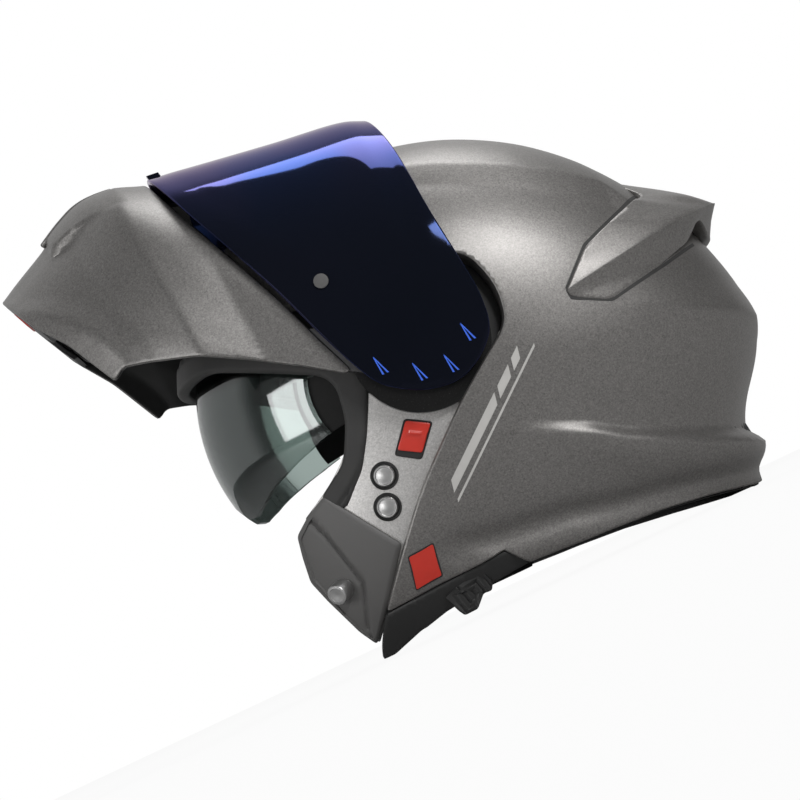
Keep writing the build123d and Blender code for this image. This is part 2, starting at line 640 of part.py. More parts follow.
# Rear spoiler
SPOILER_LINE_SHARES = (
    (-0.85, 0.64), (-0.74, 0.844), (-0.49, 1.008), (-0.13, 1.056), (0.20, 0.990),
    (0.385, 0.908), (0.55, 0.788), (0.70, 0.668), (0.775, 0.606), (0.782, 0.588),
    (0.745, 0.556), (0.715, 0.50), (0.73, 0.40), (0.72, 0.30), (0.60, 0.04),
    (0.12, -0.17), (-0.50, -0.17), (-0.86, 0.08), (-0.89, 0.40))
SPOILER_ZONE_SHARES = (
    (0.49, 1.2), (0.505, 0.80), (0.565, 0.675), (0.32, 0.595), (0.225, 0.526),
    (0.225, 0.504), (0.32, 0.468), (0.50, 0.496), (0.615, 0.52), (0.665, 0.556),
    (0.70, 0.52), (1.0, 0.52), (1.0, 1.2))
SPOILER_PROUD = 3.0

with BuildPart() as rear_spoiler:
    add(rounded_body(REST, side(SPOILER_LINE_SHARES), CENTRE,
                     SHELL_HALF_WIDTH + SPOILER_PROUD))
    add(SHELL_BODY, mode=Mode.SUBTRACT)
    add(through(REST, side(SPOILER_ZONE_SHARES), REACH), mode=Mode.INTERSECT)
keep_part(rear_spoiler, "rear_spoiler")

# Chin bar shell with its window for the vent
VENT_WINDOW_SHARES = ((-1.3, 0.115), (-0.98, 0.115), (-0.98, 0.165), (-1.3, 0.165))
VENT_WINDOW_HALF = 22.0
VENT_COVER_SHARES = ((-1.3, 0.05), (-1.00, 0.05), (-0.98, 0.25), (-1.3, 0.25))
VENT_COVER_HALF = 36.0
VENT_COVER_WALL = 3.0
VENT_SLOT_SHARES = ((-1.3, 0.105), (-0.98, 0.105), (-0.98, 0.182), (-1.3, 0.182))
VENT_SLOT_HALF = 27.0
SHUTTER_PLAY = 0.5
SHUTTER_TRAVEL = 8.0
SHUTTER_NEAR = 0.6
SHUTTER_FAR = 2.6
TONGUE_SHARES = ((-0.265, 0.55), (-0.36, 0.392), (-0.31, 0.338), (-0.215, 0.405), (-0.10, 0.50))
VISOR_EAR_RADIUS = 8.0
CHIN_CUT = through(LIFTED, side(CHIN_CUT_SHARES), REACH)
CHIN_OUTSIDE = chin_body(0)
CHIN_INSIDE = chin_body(CHIN_WALL)
VISOR_EAR = closed_place(VISOR_HINGE)

with BuildPart() as chin_shell:
    add(CHIN_OUTSIDE)
    add(CHIN_INSIDE, mode=Mode.SUBTRACT)
    add(CHIN_CUT, mode=Mode.INTERSECT)
    add(through(LIFTED, side(VENT_WINDOW_SHARES), VENT_WINDOW_HALF), mode=Mode.SUBTRACT)
keep_part(chin_shell, "chin_shell")

with BuildPart() as chin_arm_left:
    add(on_left(LIFTED, side(TONGUE_SHARES), ARM_NEAR, REACH))
    add(CHIN_INSIDE, mode=Mode.INTERSECT)
    add(round_on_left(LIFTED, CHIN_HINGE, ARM_RADIUS, ARM_NEAR, ARM_FAR))
    add(round_on_left(LIFTED, VISOR_EAR, VISOR_EAR_RADIUS, ARM_NEAR, ARM_FAR))
    add(round_on_left(LIFTED, CHIN_HINGE, HINGE_PIN_RADIUS + GAP, 0, REACH),
        mode=Mode.SUBTRACT)
keep_part(chin_arm_left, "chin_arm_left")

with BuildPart() as chin_arm_right:
    mirror(chin_arm_left.part, about=Plane.XZ)
keep_part(chin_arm_right, "chin_arm_right")

with BuildPart() as vent_cover:
    add(chin_body(-VENT_COVER_WALL))
    add(CHIN_OUTSIDE, mode=Mode.SUBTRACT)
    add(through(LIFTED, side(VENT_COVER_SHARES), VENT_COVER_HALF), mode=Mode.INTERSECT)
    add(through(LIFTED, side(VENT_SLOT_SHARES), VENT_SLOT_HALF), mode=Mode.SUBTRACT)
keep_part(vent_cover, "vent_cover")

VENT_SLOT = side(VENT_SLOT_SHARES)
SHUTTER_TOP = VENT_SLOT[2][1] - SHUTTER_PLAY
SHUTTER_FOOT = VENT_SLOT[1][1] + SHUTTER_PLAY + SHUTTER_TRAVEL

with BuildPart() as vent_shutter:
    add(chin_body(-SHUTTER_FAR))
    add(chin_body(-SHUTTER_NEAR), mode=Mode.SUBTRACT)
    add(through(LIFTED, [(VENT_SLOT[0][0], SHUTTER_FOOT), (VENT_SLOT[1][0], SHUTTER_FOOT),
                         (VENT_SLOT[1][0], SHUTTER_TOP), (VENT_SLOT[0][0], SHUTTER_TOP)],
                VENT_SLOT_HALF - SHUTTER_PLAY), mode=Mode.INTERSECT)
keep_part(vent_shutter, "vent_shutter")

# Chin bar inside: floor, release button, liner, breath guard, sill seal
FLOOR_WALL = 2.4
FLOOR_DEPTH = 30.0
FLOOR_SHARES = ((-1.30, -0.14), (-0.98, -0.092), (-0.83, -0.06), (-0.80, -0.05))
BUTTON_SHARES = ((-0.965, -0.097), (-0.90, -0.097), (-0.90, -0.045), (-0.965, -0.045))
BUTTON_HALF = 13.0
BUTTON_PLAY = 0.5
BUTTON_TRAVEL = 3.0
LINER_DEPTH = 24.0
CHIN_LINER_SHARES = ((-1.30, -0.128), (-0.98, -0.080), (-0.83, -0.048), (-0.78, -0.036),
                     (-0.78, 0.29), (-0.825, 0.30), (-1.04, 0.285), (-1.30, 0.285))
GUARD_SHARES = ((-1.30, 0.287), (-1.04, 0.287), (-0.90, 0.298), (-0.88, 0.34), (-0.92, 0.36),
                (-1.30, 0.36))
GUARD_HALF = 34.0
GUARD_NEAR = 12.0
GUARD_FAR = 14.5
SEAL_SHARES = ((-1.30, 0.295), (-1.045, 0.291), (-0.825, 0.311), (-0.655, 0.335),
               (-0.47, 0.361), (-0.36, 0.375), (-0.36, 0.391), (-0.47, 0.380),
               (-0.655, 0.354), (-0.825, 0.330), (-1.045, 0.310), (-1.30, 0.314))
SEAL_WALL = 3.0
BUTTON = side(BUTTON_SHARES)
BUTTON_MIDDLE = ((BUTTON[0][0] + BUTTON[1][0]) / 2, (BUTTON[0][1] + BUTTON[2][1]) / 2)
BUTTON_HOLE = [(BUTTON[0][0] - BUTTON_PLAY, BUTTON[0][1] - OVERRUN),
               (BUTTON[1][0] + BUTTON_PLAY, BUTTON[1][1] - OVERRUN),
               (BUTTON[2][0] + BUTTON_PLAY, BUTTON[2][1] + BUTTON_TRAVEL + BUTTON_PLAY),
               (BUTTON[3][0] - BUTTON_PLAY, BUTTON[3][1] + BUTTON_TRAVEL + BUTTON_PLAY)]
FLOOR_LOW = side(FLOOR_SHARES)
FLOOR_BAND = FLOOR_LOW + [(along, up + FLOOR_WALL) for along, up in reversed(FLOOR_LOW)]

with BuildPart() as chin_floor:
    add(CHIN_INSIDE)
    add(chin_body(CHIN_WALL + FLOOR_DEPTH), mode=Mode.SUBTRACT)
    add(through(LIFTED, FLOOR_BAND, REACH), mode=Mode.INTERSECT)
    add(through(LIFTED, BUTTON_HOLE, BUTTON_HALF + BUTTON_PLAY), mode=Mode.SUBTRACT)
keep_part(chin_floor, "chin_floor")

with BuildPart() as release_button:
    add(through(LIFTED, BUTTON, BUTTON_HALF))
keep_part(release_button, "release_button")

with BuildPart() as chin_liner:
    add(CHIN_INSIDE)
    add(chin_body(CHIN_WALL + LINER_DEPTH), mode=Mode.SUBTRACT)
    add(through(LIFTED, side(CHIN_LINER_SHARES), REACH), mode=Mode.INTERSECT)
    add(chin_floor.part, mode=Mode.SUBTRACT)
    add(through(LIFTED, BUTTON_HOLE, BUTTON_HALF + BUTTON_PLAY), mode=Mode.SUBTRACT)
    add(through(LIFTED, side(VENT_WINDOW_SHARES), VENT_WINDOW_HALF), mode=Mode.SUBTRACT)
keep_part(chin_liner, "chin_liner")

with BuildPart() as breath_guard:
    add(chin_body(CHIN_WALL + GUARD_NEAR))
    add(chin_body(CHIN_WALL + GUARD_FAR), mode=Mode.SUBTRACT)
    add(through(LIFTED, side(GUARD_SHARES), GUARD_HALF), mode=Mode.INTERSECT)
    add(chin_liner.part, mode=Mode.SUBTRACT)
keep_part(breath_guard, "breath_guard")

with BuildPart() as sill_seal:
    add(CHIN_INSIDE)
    add(chin_body(CHIN_WALL + SEAL_WALL), mode=Mode.SUBTRACT)
    add(through(LIFTED, side(SEAL_SHARES), REACH), mode=Mode.INTERSECT)
    add(chin_liner.part, mode=Mode.SUBTRACT)
    add(chin_arm_left.part, mode=Mode.SUBTRACT)
    add(chin_arm_right.part, mode=Mode.SUBTRACT)
keep_part(sill_seal, "sill_seal")

# Latch jaws and their pins
JAW_PIVOT_SHARES = (-0.69, 0.24)
JAW_SHARES = (
    (-0.71, 0.228), (-0.6875, 0.176), (-0.668, 0.14), (-0.625, 0.12), (-0.601, 0.127),
    (-0.5995, 0.146), (-0.6215, 0.139), (-0.649, 0.148), (-0.6625, 0.168), (-0.66, 0.20),
    (-0.67, 0.232))
JAW_SWING = 35.0
JAW_NEAR = 95.2
JAW_WALL = 2.4
JAW_PLAY = 0.6
JAW_HUB_RADIUS = 6.0
JAW_PIN_RADIUS = 2.5
JAW_PIN_PLAY = 0.3

JAW_PIVOT = side([JAW_PIVOT_SHARES])[0]


def lifted_place(place):
    """Where a point of the lowered chin bar lies once the chin bar is lifted."""
    along = place[0] - CHIN_HINGE[0]
    up = place[1] - CHIN_HINGE[1]
    return (CHIN_HINGE[0] + along * LIFT_COS + up * LIFT_SIN,
            CHIN_HINGE[1] - along * LIFT_SIN + up * LIFT_COS)


JAW_AXIS_PLACE = lifted_place(JAW_PIVOT)
JAW_AXIS = Axis((JAW_AXIS_PLACE[0], 0, JAW_AXIS_PLACE[1]), (0, -1, 0))

with BuildPart() as shut_jaw:
    add(on_left(LIFTED, side(JAW_SHARES), JAW_NEAR, JAW_NEAR + JAW_WALL))
    add(round_on_left(LIFTED, JAW_PIVOT, JAW_HUB_RADIUS, JAW_NEAR, JAW_NEAR + JAW_WALL))
    add(round_on_left(LIFTED, JAW_PIVOT, JAW_PIN_RADIUS + JAW_PIN_PLAY, 0, REACH),
        mode=Mode.SUBTRACT)

with BuildPart() as latch_jaw_left:
    add(shut_jaw.part.rotate(JAW_AXIS, -JAW_SWING))
    add(chin_body(CHIN_WALL + JAW_PLAY), mode=Mode.INTERSECT)
keep_part(latch_jaw_left, "latch_jaw_left")

with BuildPart() as latch_jaw_right:
    mirror(latch_jaw_left.part, about=Plane.XZ)
keep_part(latch_jaw_right, "latch_jaw_right")

with BuildPart() as jaw_pins:
    add(round_on_left(LIFTED, JAW_PIVOT, JAW_PIN_RADIUS, JAW_NEAR, REACH))
    add(CHIN_INSIDE, mode=Mode.INTERSECT)
    mirror(about=Plane.XZ)
keep_part(jaw_pins, "jaw_pins")

# Visor with its hubs, pins, tab and fog pins
HUB_RADIUS = 8.5
HUB_NEAR_GAP = 0.5
TAB_SHARES = ((-1.10, 0.326), (-0.94, 0.326), (-0.94, 0.352), (-1.10, 0.352))
TAB_NEAR = 22.0
TAB_FAR = 38.0
TAB_WALL = 3.0
FOG_PIN_SHARES = (-0.435, 0.468)
FOG_PIN_RADIUS = 3.8
FOG_PIN_HEAD = 0.9
FOG_PIN_STUB = 2.5

VISOR_OUTSIDE = visor_body(0)
VISOR_INSIDE = visor_body(VISOR_WALL)
FOG_PIN = side([FOG_PIN_SHARES])[0]
HUB_NEAR = ARM_FAR + HUB_NEAR_GAP

with BuildPart() as visor_shield:
    add(VISOR_OUTSIDE)
    add(VISOR_INSIDE, mode=Mode.SUBTRACT)
    add(through(LIFTED, side(VISOR_CUT_SHARES), REACH), mode=Mode.INTERSECT)
    add(round_on_left(LIFTED, FOG_PIN, FOG_PIN_RADIUS, 0, REACH), mode=Mode.SUBTRACT)
    mirror(round_on_left(LIFTED, FOG_PIN, FOG_PIN_RADIUS, 0, REACH), about=Plane.XZ,
           mode=Mode.SUBTRACT)
keep_part(visor_shield, "visor_shield")

with BuildPart() as visor_hub_left:
    add(round_on_left(REST, VISOR_HINGE, HUB_RADIUS, HUB_NEAR, REACH))
    add(VISOR_INSIDE, mode=Mode.INTERSECT)
    add(round_on_left(REST, VISOR_HINGE, VISOR_PIN_RADIUS + GAP, 0, REACH),
        mode=Mode.SUBTRACT)
keep_part(visor_hub_left, "visor_hub_left")

with BuildPart() as visor_hub_right:
    mirror(visor_hub_left.part, about=Plane.XZ)
keep_part(visor_hub_right, "visor_hub_right")

with BuildPart() as visor_pins:
    add(round_on_left(REST, VISOR_HINGE, VISOR_PIN_RADIUS, ARM_FAR, REACH))
    add(visor_body(VISOR_WALL + GAP), mode=Mode.INTERSECT)
    mirror(about=Plane.XZ)
keep_part(visor_pins, "visor_pins")

with BuildPart() as visor_tab:
    add(visor_body(-TAB_WALL))
    add(VISOR_OUTSIDE, mode=Mode.SUBTRACT)
    add(on_left(LIFTED, side(TAB_SHARES), TAB_NEAR, TAB_FAR), mode=Mode.INTERSECT)
keep_part(visor_tab, "visor_tab")

with BuildPart() as fog_pins:
    add(round_on_left(LIFTED, FOG_PIN, FOG_PIN_RADIUS, SURFACE_NEAR, REACH))
    add(visor_body(-FOG_PIN_HEAD), mode=Mode.INTERSECT)
    add(visor_body(VISOR_WALL + FOG_PIN_STUB), mode=Mode.SUBTRACT)
    mirror(about=Plane.XZ)
keep_part(fog_pins, "fog_pins")

# Chin strap, buckled across the neck opening
STRAP_WIDTH = 22.0
STRAP_WALL = 1.8
STRAP_PLACE_SHARE = -0.18
STRAP_SHARES = ((-0.83, 0.0828), (-0.72, 0.05), (-0.45, 0.034), (-0.14, 0.034))
BUCKLE_LENGTH = 34.0
BUCKLE_WIDTH = 25.0
BUCKLE_WALL = 8.0
LEVER_LENGTH = 26.0
LEVER_WALL = 2.4
LEVER_SWING = 40.0
LEVER_PIN_RADIUS = 1.8
LEVER_EAR = 3.5
LEVER_HUB_RADIUS = LEVER_PIN_RADIUS + LEVER_WALL / 2
EAR_RISE = 2 * LEVER_HUB_RADIUS + GAP

STRAP_START = STRAP_PLACE_SHARE * HEAD_LENGTH
STRAP_LINE = [(across * CAVITY_HALF_WIDTH, up * HEAD_HEIGHT) for across, up in STRAP_SHARES]
STRAP_FLAT = STRAP_LINE[3][1]
BUCKLE_TOP = STRAP_FLAT + STRAP_WALL + BUCKLE_WALL

with BuildPart() as chin_strap_left:
    with BuildSketch(Plane.YZ.offset(STRAP_START - STRAP_WIDTH / 2)):
        with BuildLine():
            Polyline(*(STRAP_LINE + [(across, up + STRAP_WALL) for across, up
                                     in reversed(STRAP_LINE)]), close=True)
        make_face()
    extrude(amount=STRAP_WIDTH)
keep_part(chin_strap_left, "chin_strap_left")

with BuildPart() as chin_strap_right:
    mirror(chin_strap_left.part, about=Plane.XZ)
keep_part(chin_strap_right, "chin_strap_right")

BUCKLE_MIDDLE = (STRAP_START, 0, STRAP_FLAT + STRAP_WALL + BUCKLE_WALL / 2)
LEVER_PIVOT = (STRAP_START, BUCKLE_LENGTH / 2 - LEVER_EAR,
               BUCKLE_TOP + GAP + LEVER_HUB_RADIUS)

with BuildPart() as strap_buckle:
    with Locations(BUCKLE_MIDDLE):
        Box(BUCKLE_WIDTH, BUCKLE_LENGTH, BUCKLE_WALL)
    with Locations(LEVER_PIVOT):
        Cylinder(LEVER_PIN_RADIUS, BUCKLE_WIDTH, rotation=(0, 90, 0))
    with Locations(*[(STRAP_START + turn * (BUCKLE_WIDTH - LEVER_EAR) / 2, LEVER_PIVOT[1],
                      BUCKLE_TOP + EAR_RISE / 2) for turn in (-1, 1)]):
        Box(LEVER_EAR, 2 * LEVER_EAR, EAR_RISE)
    with Locations((STRAP_START, 0, STRAP_FLAT + STRAP_WALL / 2)):
        Box(BUCKLE_WIDTH, -2 * STRAP_LINE[3][0], STRAP_WALL)
keep_part(strap_buckle, "strap_buckle")

with BuildPart() as buckle_lever:
    with Locations((STRAP_START, LEVER_PIVOT[1] - LEVER_LENGTH / 2, LEVER_PIVOT[2])):
        Box(BUCKLE_WIDTH - 2 * LEVER_EAR - 2 * GAP, LEVER_LENGTH, LEVER_WALL)
    with Locations(LEVER_PIVOT):
        Cylinder(LEVER_HUB_RADIUS, BUCKLE_WIDTH - 2 * LEVER_EAR - 2 * GAP,
                 rotation=(0, 90, 0))
        Cylinder(LEVER_PIN_RADIUS + GAP, BUCKLE_WIDTH, rotation=(0, 90, 0),
                 mode=Mode.SUBTRACT)
keep_part(buckle_lever, "buckle_lever")
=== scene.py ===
"""Looks of a flip-up motorcycle helmet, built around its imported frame.

Sizes are millimetres in the helmet's own axes: the nose points to -X, the crown
to +Z and the wearer's left side to -Y. The chin bar and the visor are drawn as
they lie when shut, and are then turned up to where the helmet rests open.
"""

from math import cos, pi, radians, sin

import bmesh
import bpy
import numpy as np
from mathutils import Matrix, Vector


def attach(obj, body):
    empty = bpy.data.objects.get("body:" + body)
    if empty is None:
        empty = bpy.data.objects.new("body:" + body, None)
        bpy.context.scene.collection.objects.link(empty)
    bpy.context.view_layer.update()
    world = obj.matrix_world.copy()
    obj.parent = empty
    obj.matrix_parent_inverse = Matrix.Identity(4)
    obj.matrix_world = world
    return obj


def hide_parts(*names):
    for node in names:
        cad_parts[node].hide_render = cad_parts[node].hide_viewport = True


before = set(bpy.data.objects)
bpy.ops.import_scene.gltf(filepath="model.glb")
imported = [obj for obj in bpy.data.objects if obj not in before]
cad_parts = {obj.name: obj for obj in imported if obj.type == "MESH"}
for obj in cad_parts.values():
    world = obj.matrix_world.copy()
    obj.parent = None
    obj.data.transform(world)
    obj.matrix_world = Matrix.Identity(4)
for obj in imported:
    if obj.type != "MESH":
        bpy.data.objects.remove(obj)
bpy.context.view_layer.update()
MM = 0.001

# Head and helmet sizes
HEAD_LENGTH = 200.0
HEAD_HEIGHT = 250.0
SHELL_HALF_WIDTH = 125.0
RECESS_HALF_WIDTH = 113.0
RECESS_DEPTH = 1.5
CHIN_HALF_WIDTH = 124.0
VISOR_HALF_WIDTH = 129.0
CAVITY_HALF_WIDTH = 82.0
SPOILER_PROUD = 3.0
SHELL_WALL = 4.5
CHIN_WALL = 3.5
VISOR_WALL = 2.2
BLUNT = 2.4
CHIN_TRAVEL = 78.0

# Side outlines, as shares of the head's length and height
CENTRE_SHARES = (-0.10, 0.48)
CHIN_HINGE_SHARES = (-0.17, 0.556)
VISOR_CENTRE_SHARES = (-0.16, 0.592)
SHELL_SHARES = (
    (-0.785, 0.756), (-0.728, 0.838), (-0.63, 0.924), (-0.48, 1.0), (-0.31, 1.04),
    (-0.13, 1.048), (0.04, 1.028), (0.20, 0.984), (0.36, 0.908), (0.50, 0.80),
    (0.61, 0.672), (0.68, 0.536), (0.72, 0.40), (0.71, 0.30), (0.635, 0.18),
    (0.565, 0.04), (0.42, -0.10), (0.12, -0.17), (-0.20, -0.19), (-0.50, -0.17),
    (-0.75, -0.08), (-0.86, 0.08), (-0.89, 0.28), (-0.87, 0.48), (-0.835, 0.64))
CHIN_SHARES = (
    (-0.95, 0.44), (-1.015, 0.32), (-1.06, 0.24), (-1.08, 0.172), (-1.07, 0.112),
    (-1.04, 0.032), (-1.00, -0.08), (-0.94, -0.20), (-0.75, -0.32), (-0.40, -0.36),
    (0.0, -0.34), (0.40, -0.24), (0.65, 0.0), (0.72, 0.24), (0.70, 0.52),
    (0.50, 0.80), (0.10, 0.96), (-0.30, 0.96), (-0.65, 0.80), (-0.85, 0.60))
VISOR_SHARES = (
    (-1.045, 0.26), (-1.0125, 0.348), (-0.975, 0.428), (-0.90, 0.588), (-0.838, 0.728),
    (-0.79, 0.79), (-0.70, 0.90), (-0.45, 1.05), (-0.16, 1.12), (0.15, 1.05),
    (0.42, 0.85), (0.55, 0.59), (0.50, 0.25), (0.30, -0.05), (-0.16, -0.20),
    (-0.60, -0.16), (-0.90, 0.0), (-1.03, 0.16))
CAVITY_SHARES = (
    (-0.55, 0.44), (-0.555, 0.61), (-0.51, 0.74), (-0.39, 0.83), (-0.22, 0.87),
    (-0.04, 0.872), (0.14, 0.84), (0.32, 0.76), (0.46, 0.62), (0.51, 0.46),
    (0.49, 0.30), (0.43, 0.14), (0.39, -0.04), (0.36, -0.24), (0.0, -0.34),
    (-0.36, -0.34), (-0.50, -0.22), (-0.54, 0.0), (-0.55, 0.22))
SPOILER_LINE_SHARES = (
    (-0.85, 0.64), (-0.74, 0.844), (-0.49, 1.008), (-0.13, 1.056), (0.20, 0.990),
    (0.385, 0.908), (0.55, 0.788), (0.70, 0.668), (0.775, 0.606), (0.782, 0.588),
    (0.745, 0.556), (0.715, 0.50), (0.73, 0.40), (0.72, 0.30), (0.60, 0.04),
    (0.12, -0.17), (-0.50, -0.17), (-0.86, 0.08), (-0.89, 0.40))

# Zones and cuts in the side view
FACE_SHARES = (
    (-1.60, 0.736), (-0.70, 0.722), (-0.41, 0.596), (-0.385, 0.56), (-0.40, 0.49),
    (-0.455, 0.42), (-0.53, 0.372), (-0.62, 0.335), (-0.655, 0.27), (-0.66, 0.21),
    (-0.645, 0.16), (-0.60, 0.085), (-0.63, -0.46), (-1.60, -0.46))
RECESS_SHARES = (
    (-1.40, 0.776), (-0.90, 0.772), (-0.62, 0.768), (-0.44, 0.738), (-0.28, 0.726),
    (-0.13, 0.722), (0.03, 0.68), (0.062, 0.592), (0.045, 0.512), (-0.04, 0.468),
    (-0.15, 0.404), (-0.25, 0.336), (-0.33, 0.28), (-0.425, 0.196), (-0.535, 0.092),
    (-0.60, 0.012), (-0.62, -0.40), (-1.40, -0.40))
RIM_SHARES = (
    (-1.40, 0.0), (-0.56, 0.0), (-0.48, 0.02), (-0.395, 0.036), (-0.265, 0.048),
    (-0.145, 0.056), (-0.07, 0.053), (0.075, 0.045), (0.21, 0.036), (0.35, 0.02),
    (0.44, 0.008), (0.50, 0.0), (1.0, 0.0))
HEM_SHARES = (
    (-1.40, 0.082), (-0.53, 0.086), (-0.20, 0.10), (-0.155, 0.07), (-0.07, 0.066),
    (0.075, 0.058), (0.21, 0.049), (0.35, 0.033), (0.44, 0.021), (0.50, 0.0135),
    (1.0, 0.0135))
LOW_HEM_SHARES = HEM_SHARES[:3] + tuple((along, up - 0.0085) for along, up in HEM_SHARES[3:])
CHIN_CUT_SHARES = (
    (-0.205, 0.412), (-0.205, 0.402), (-0.295, 0.336), (-0.385, 0.262),
    (-0.475, 0.178), (-0.545, 0.092), (-0.575, 0.044), (-0.56, 0.012),
    (-0.725, -0.024), (-0.83, -0.06), (-0.98, -0.092), (-1.30, -0.14),
    (-1.30, 0.314), (-1.045, 0.310), (-0.825, 0.330), (-0.655, 0.354),
    (-0.47, 0.380), (-0.32, 0.396))
VISOR_CUT_SHARES = (
    (-1.30, 0.322), (-1.045, 0.318), (-0.825, 0.337), (-0.655, 0.361), (-0.47, 0.387),
    (-0.32, 0.402), (-0.20, 0.42), (-0.14, 0.434), (-0.095, 0.464), (-0.055, 0.50),
    (-0.02, 0.568), (-0.04, 0.636), (-0.085, 0.688), (-0.18, 0.712), (-0.275, 0.72),
    (-0.44, 0.736), (-0.62, 0.766), (-0.75, 0.779), (-1.30, 0.784))
SPOILER_ZONE_SHARES = (
    (0.49, 1.2), (0.505, 0.80), (0.565, 0.675), (0.32, 0.595), (0.225, 0.526),
    (0.225, 0.504), (0.32, 0.468), (0.50, 0.496), (0.615, 0.52), (0.665, 0.556),
    (0.70, 0.52), (1.0, 0.52), (1.0, 1.2))
GASKET_SHARES = (
    (-1.2, 0.784), (-0.70, 0.776), (-0.42, 0.652), (-0.335, 0.585), (-0.325, 0.528),
    (-0.39, 0.428), (-0.445, 0.36), (-0.525, 0.305), (-0.575, 0.352), (-0.475, 0.40),
    (-0.425, 0.475), (-0.41, 0.545), (-0.43, 0.58), (-0.70, 0.706), (-1.2, 0.722))
SEAL_SHARES = ((-1.30, 0.295), (-1.045, 0.291), (-0.825, 0.311), (-0.655, 0.335),
               (-0.47, 0.361), (-0.36, 0.375), (-0.36, 0.391), (-0.47, 0.380),
               (-0.655, 0.354), (-0.825, 0.330), (-1.045, 0.310), (-1.30, 0.314))
MOUTH_HALF = 66.0
DEEP_SHARE = -0.6


def side(shares):
    """Side-view points in millimetres from shares of the head's length and height."""
    return np.asarray(shares, float) * (HEAD_LENGTH, HEAD_HEIGHT)


CENTRE = side([CENTRE_SHARES])[0]
CHIN_HINGE = side([CHIN_HINGE_SHARES])[0]
VISOR_CENTRE = side([VISOR_CENTRE_SHARES])[0]


# Curves and fields in the side view
def spline(points, steps=10):
    """A closed curve through given points: each span is the Catmull-Rom cubic of
    its four neighbours, half of 2b + (c - a)t + (2a - 5b + 4c - d)t^2 + (3b - 3c + d - a)t^3."""
    here = np.asarray(points, float)
    before, after, last = np.roll(here, 1, 0), np.roll(here, -1, 0), np.roll(here, -2, 0)
    t = np.linspace(0, 1, steps, endpoint=False)[:, None, None]
    curve = 0.5 * (2 * here + (after - before) * t
                   + (2 * before - 5 * here + 4 * after - last) * t ** 2
                   + (3 * here - 3 * after + last - before) * t ** 3)
    return curve.swapaxes(0, 1).reshape(-1, 2)


def rounded(points, radius, steps=7):
    """A closed outline whose corners become quadratic arcs that start a radius away."""
    corner = np.asarray(points, float)

    def towards(other):
        """The point a radius from each corner towards the other."""
        reach = np.linalg.norm(other - corner, axis=1)[:, None]
        return corner + (other - corner) * np.minimum(radius / reach, 0.45)

    start, end = towards(np.roll(corner, 1, 0)), towards(np.roll(corner, -1, 0))
    t = np.linspace(0, 1, steps)[:, None, None]
    curve = (1 - t) ** 2 * start + 2 * t * (1 - t) * corner + t ** 2 * end
    return curve.swapaxes(0, 1).reshape(-1, 2)


def denser(outline, count):
    """An outline with each edge cut into a count of equal steps."""
    outline = np.asarray(outline, float)
    edge = np.roll(outline, -1, 0) - outline
    t = np.linspace(0, 1, count, endpoint=False)[None, :, None]
    return (outline[:, None] + edge[:, None] * t).reshape(-1, 2)


def depth_in(points, outline):
    """How far side-view points lie inside a closed outline, negative outside it: the least
    distance to its edges, signed by how many edges a ray to +X crosses."""
    a = np.asarray(outline, float)
    b = np.roll(a, -1, 0)
    d = b - a
    length2 = np.maximum((d * d).sum(1), 1e-9)
    rise = np.where(abs(d[:, 1]) < 1e-9, 1e-9, d[:, 1])
    found = []
    for part in np.array_split(points, len(points) // 4000 + 1):
        rel = part[:, None] - a
        t = np.clip((rel * d).sum(2) / length2, 0, 1)
        gap = np.linalg.norm(rel - t[..., None] * d, axis=2).min(1)
        y = part[:, None, 1]
        spans = (a[:, 1] > y) != (b[:, 1] > y)
        hits = spans & (part[:, None, 0] < d[:, 0] * (y - a[:, 1]) / rise + a[:, 0])
        found.append(np.where(hits.sum(1) % 2 == 1, gap, -gap))
    return np.concatenate(found)


def smooth(value, low, high):
    """A share that eases from 0 at low to 1 at high as 3t^2 - 2t^3."""
    t = np.clip((value - low) / (high - low), 0, 1)
    return t * t * (3 - 2 * t)


def above(x, z, line):
    """Height of side-view points over a line given by its own points."""
    along, up = np.asarray(line, float).T
    return z - np.interp(x, along, up)


def below_line(shares):
    """The closed area under a rim line."""
    line = list(shares)
    return side(line + [(line[-1][0], DEEP_SHARE), (line[0][0], DEEP_SHARE)])


FACE_CUT = rounded(side(FACE_SHARES), 8)
RECESS_ZONE = rounded(side(RECESS_SHARES), 9)
RIM_CUT = below_line(RIM_SHARES)
HEM_CUT = below_line(HEM_SHARES)
LOW_HEM_CUT = below_line(LOW_HEM_SHARES)
CHIN_CUT = rounded(side(CHIN_CUT_SHARES), 3)
VISOR_CUT = rounded(side(VISOR_CUT_SHARES), 12)
SPOILER_ZONE = rounded(side(SPOILER_ZONE_SHARES), 4)
GASKET_ZONE = rounded(side(GASKET_SHARES), 6)


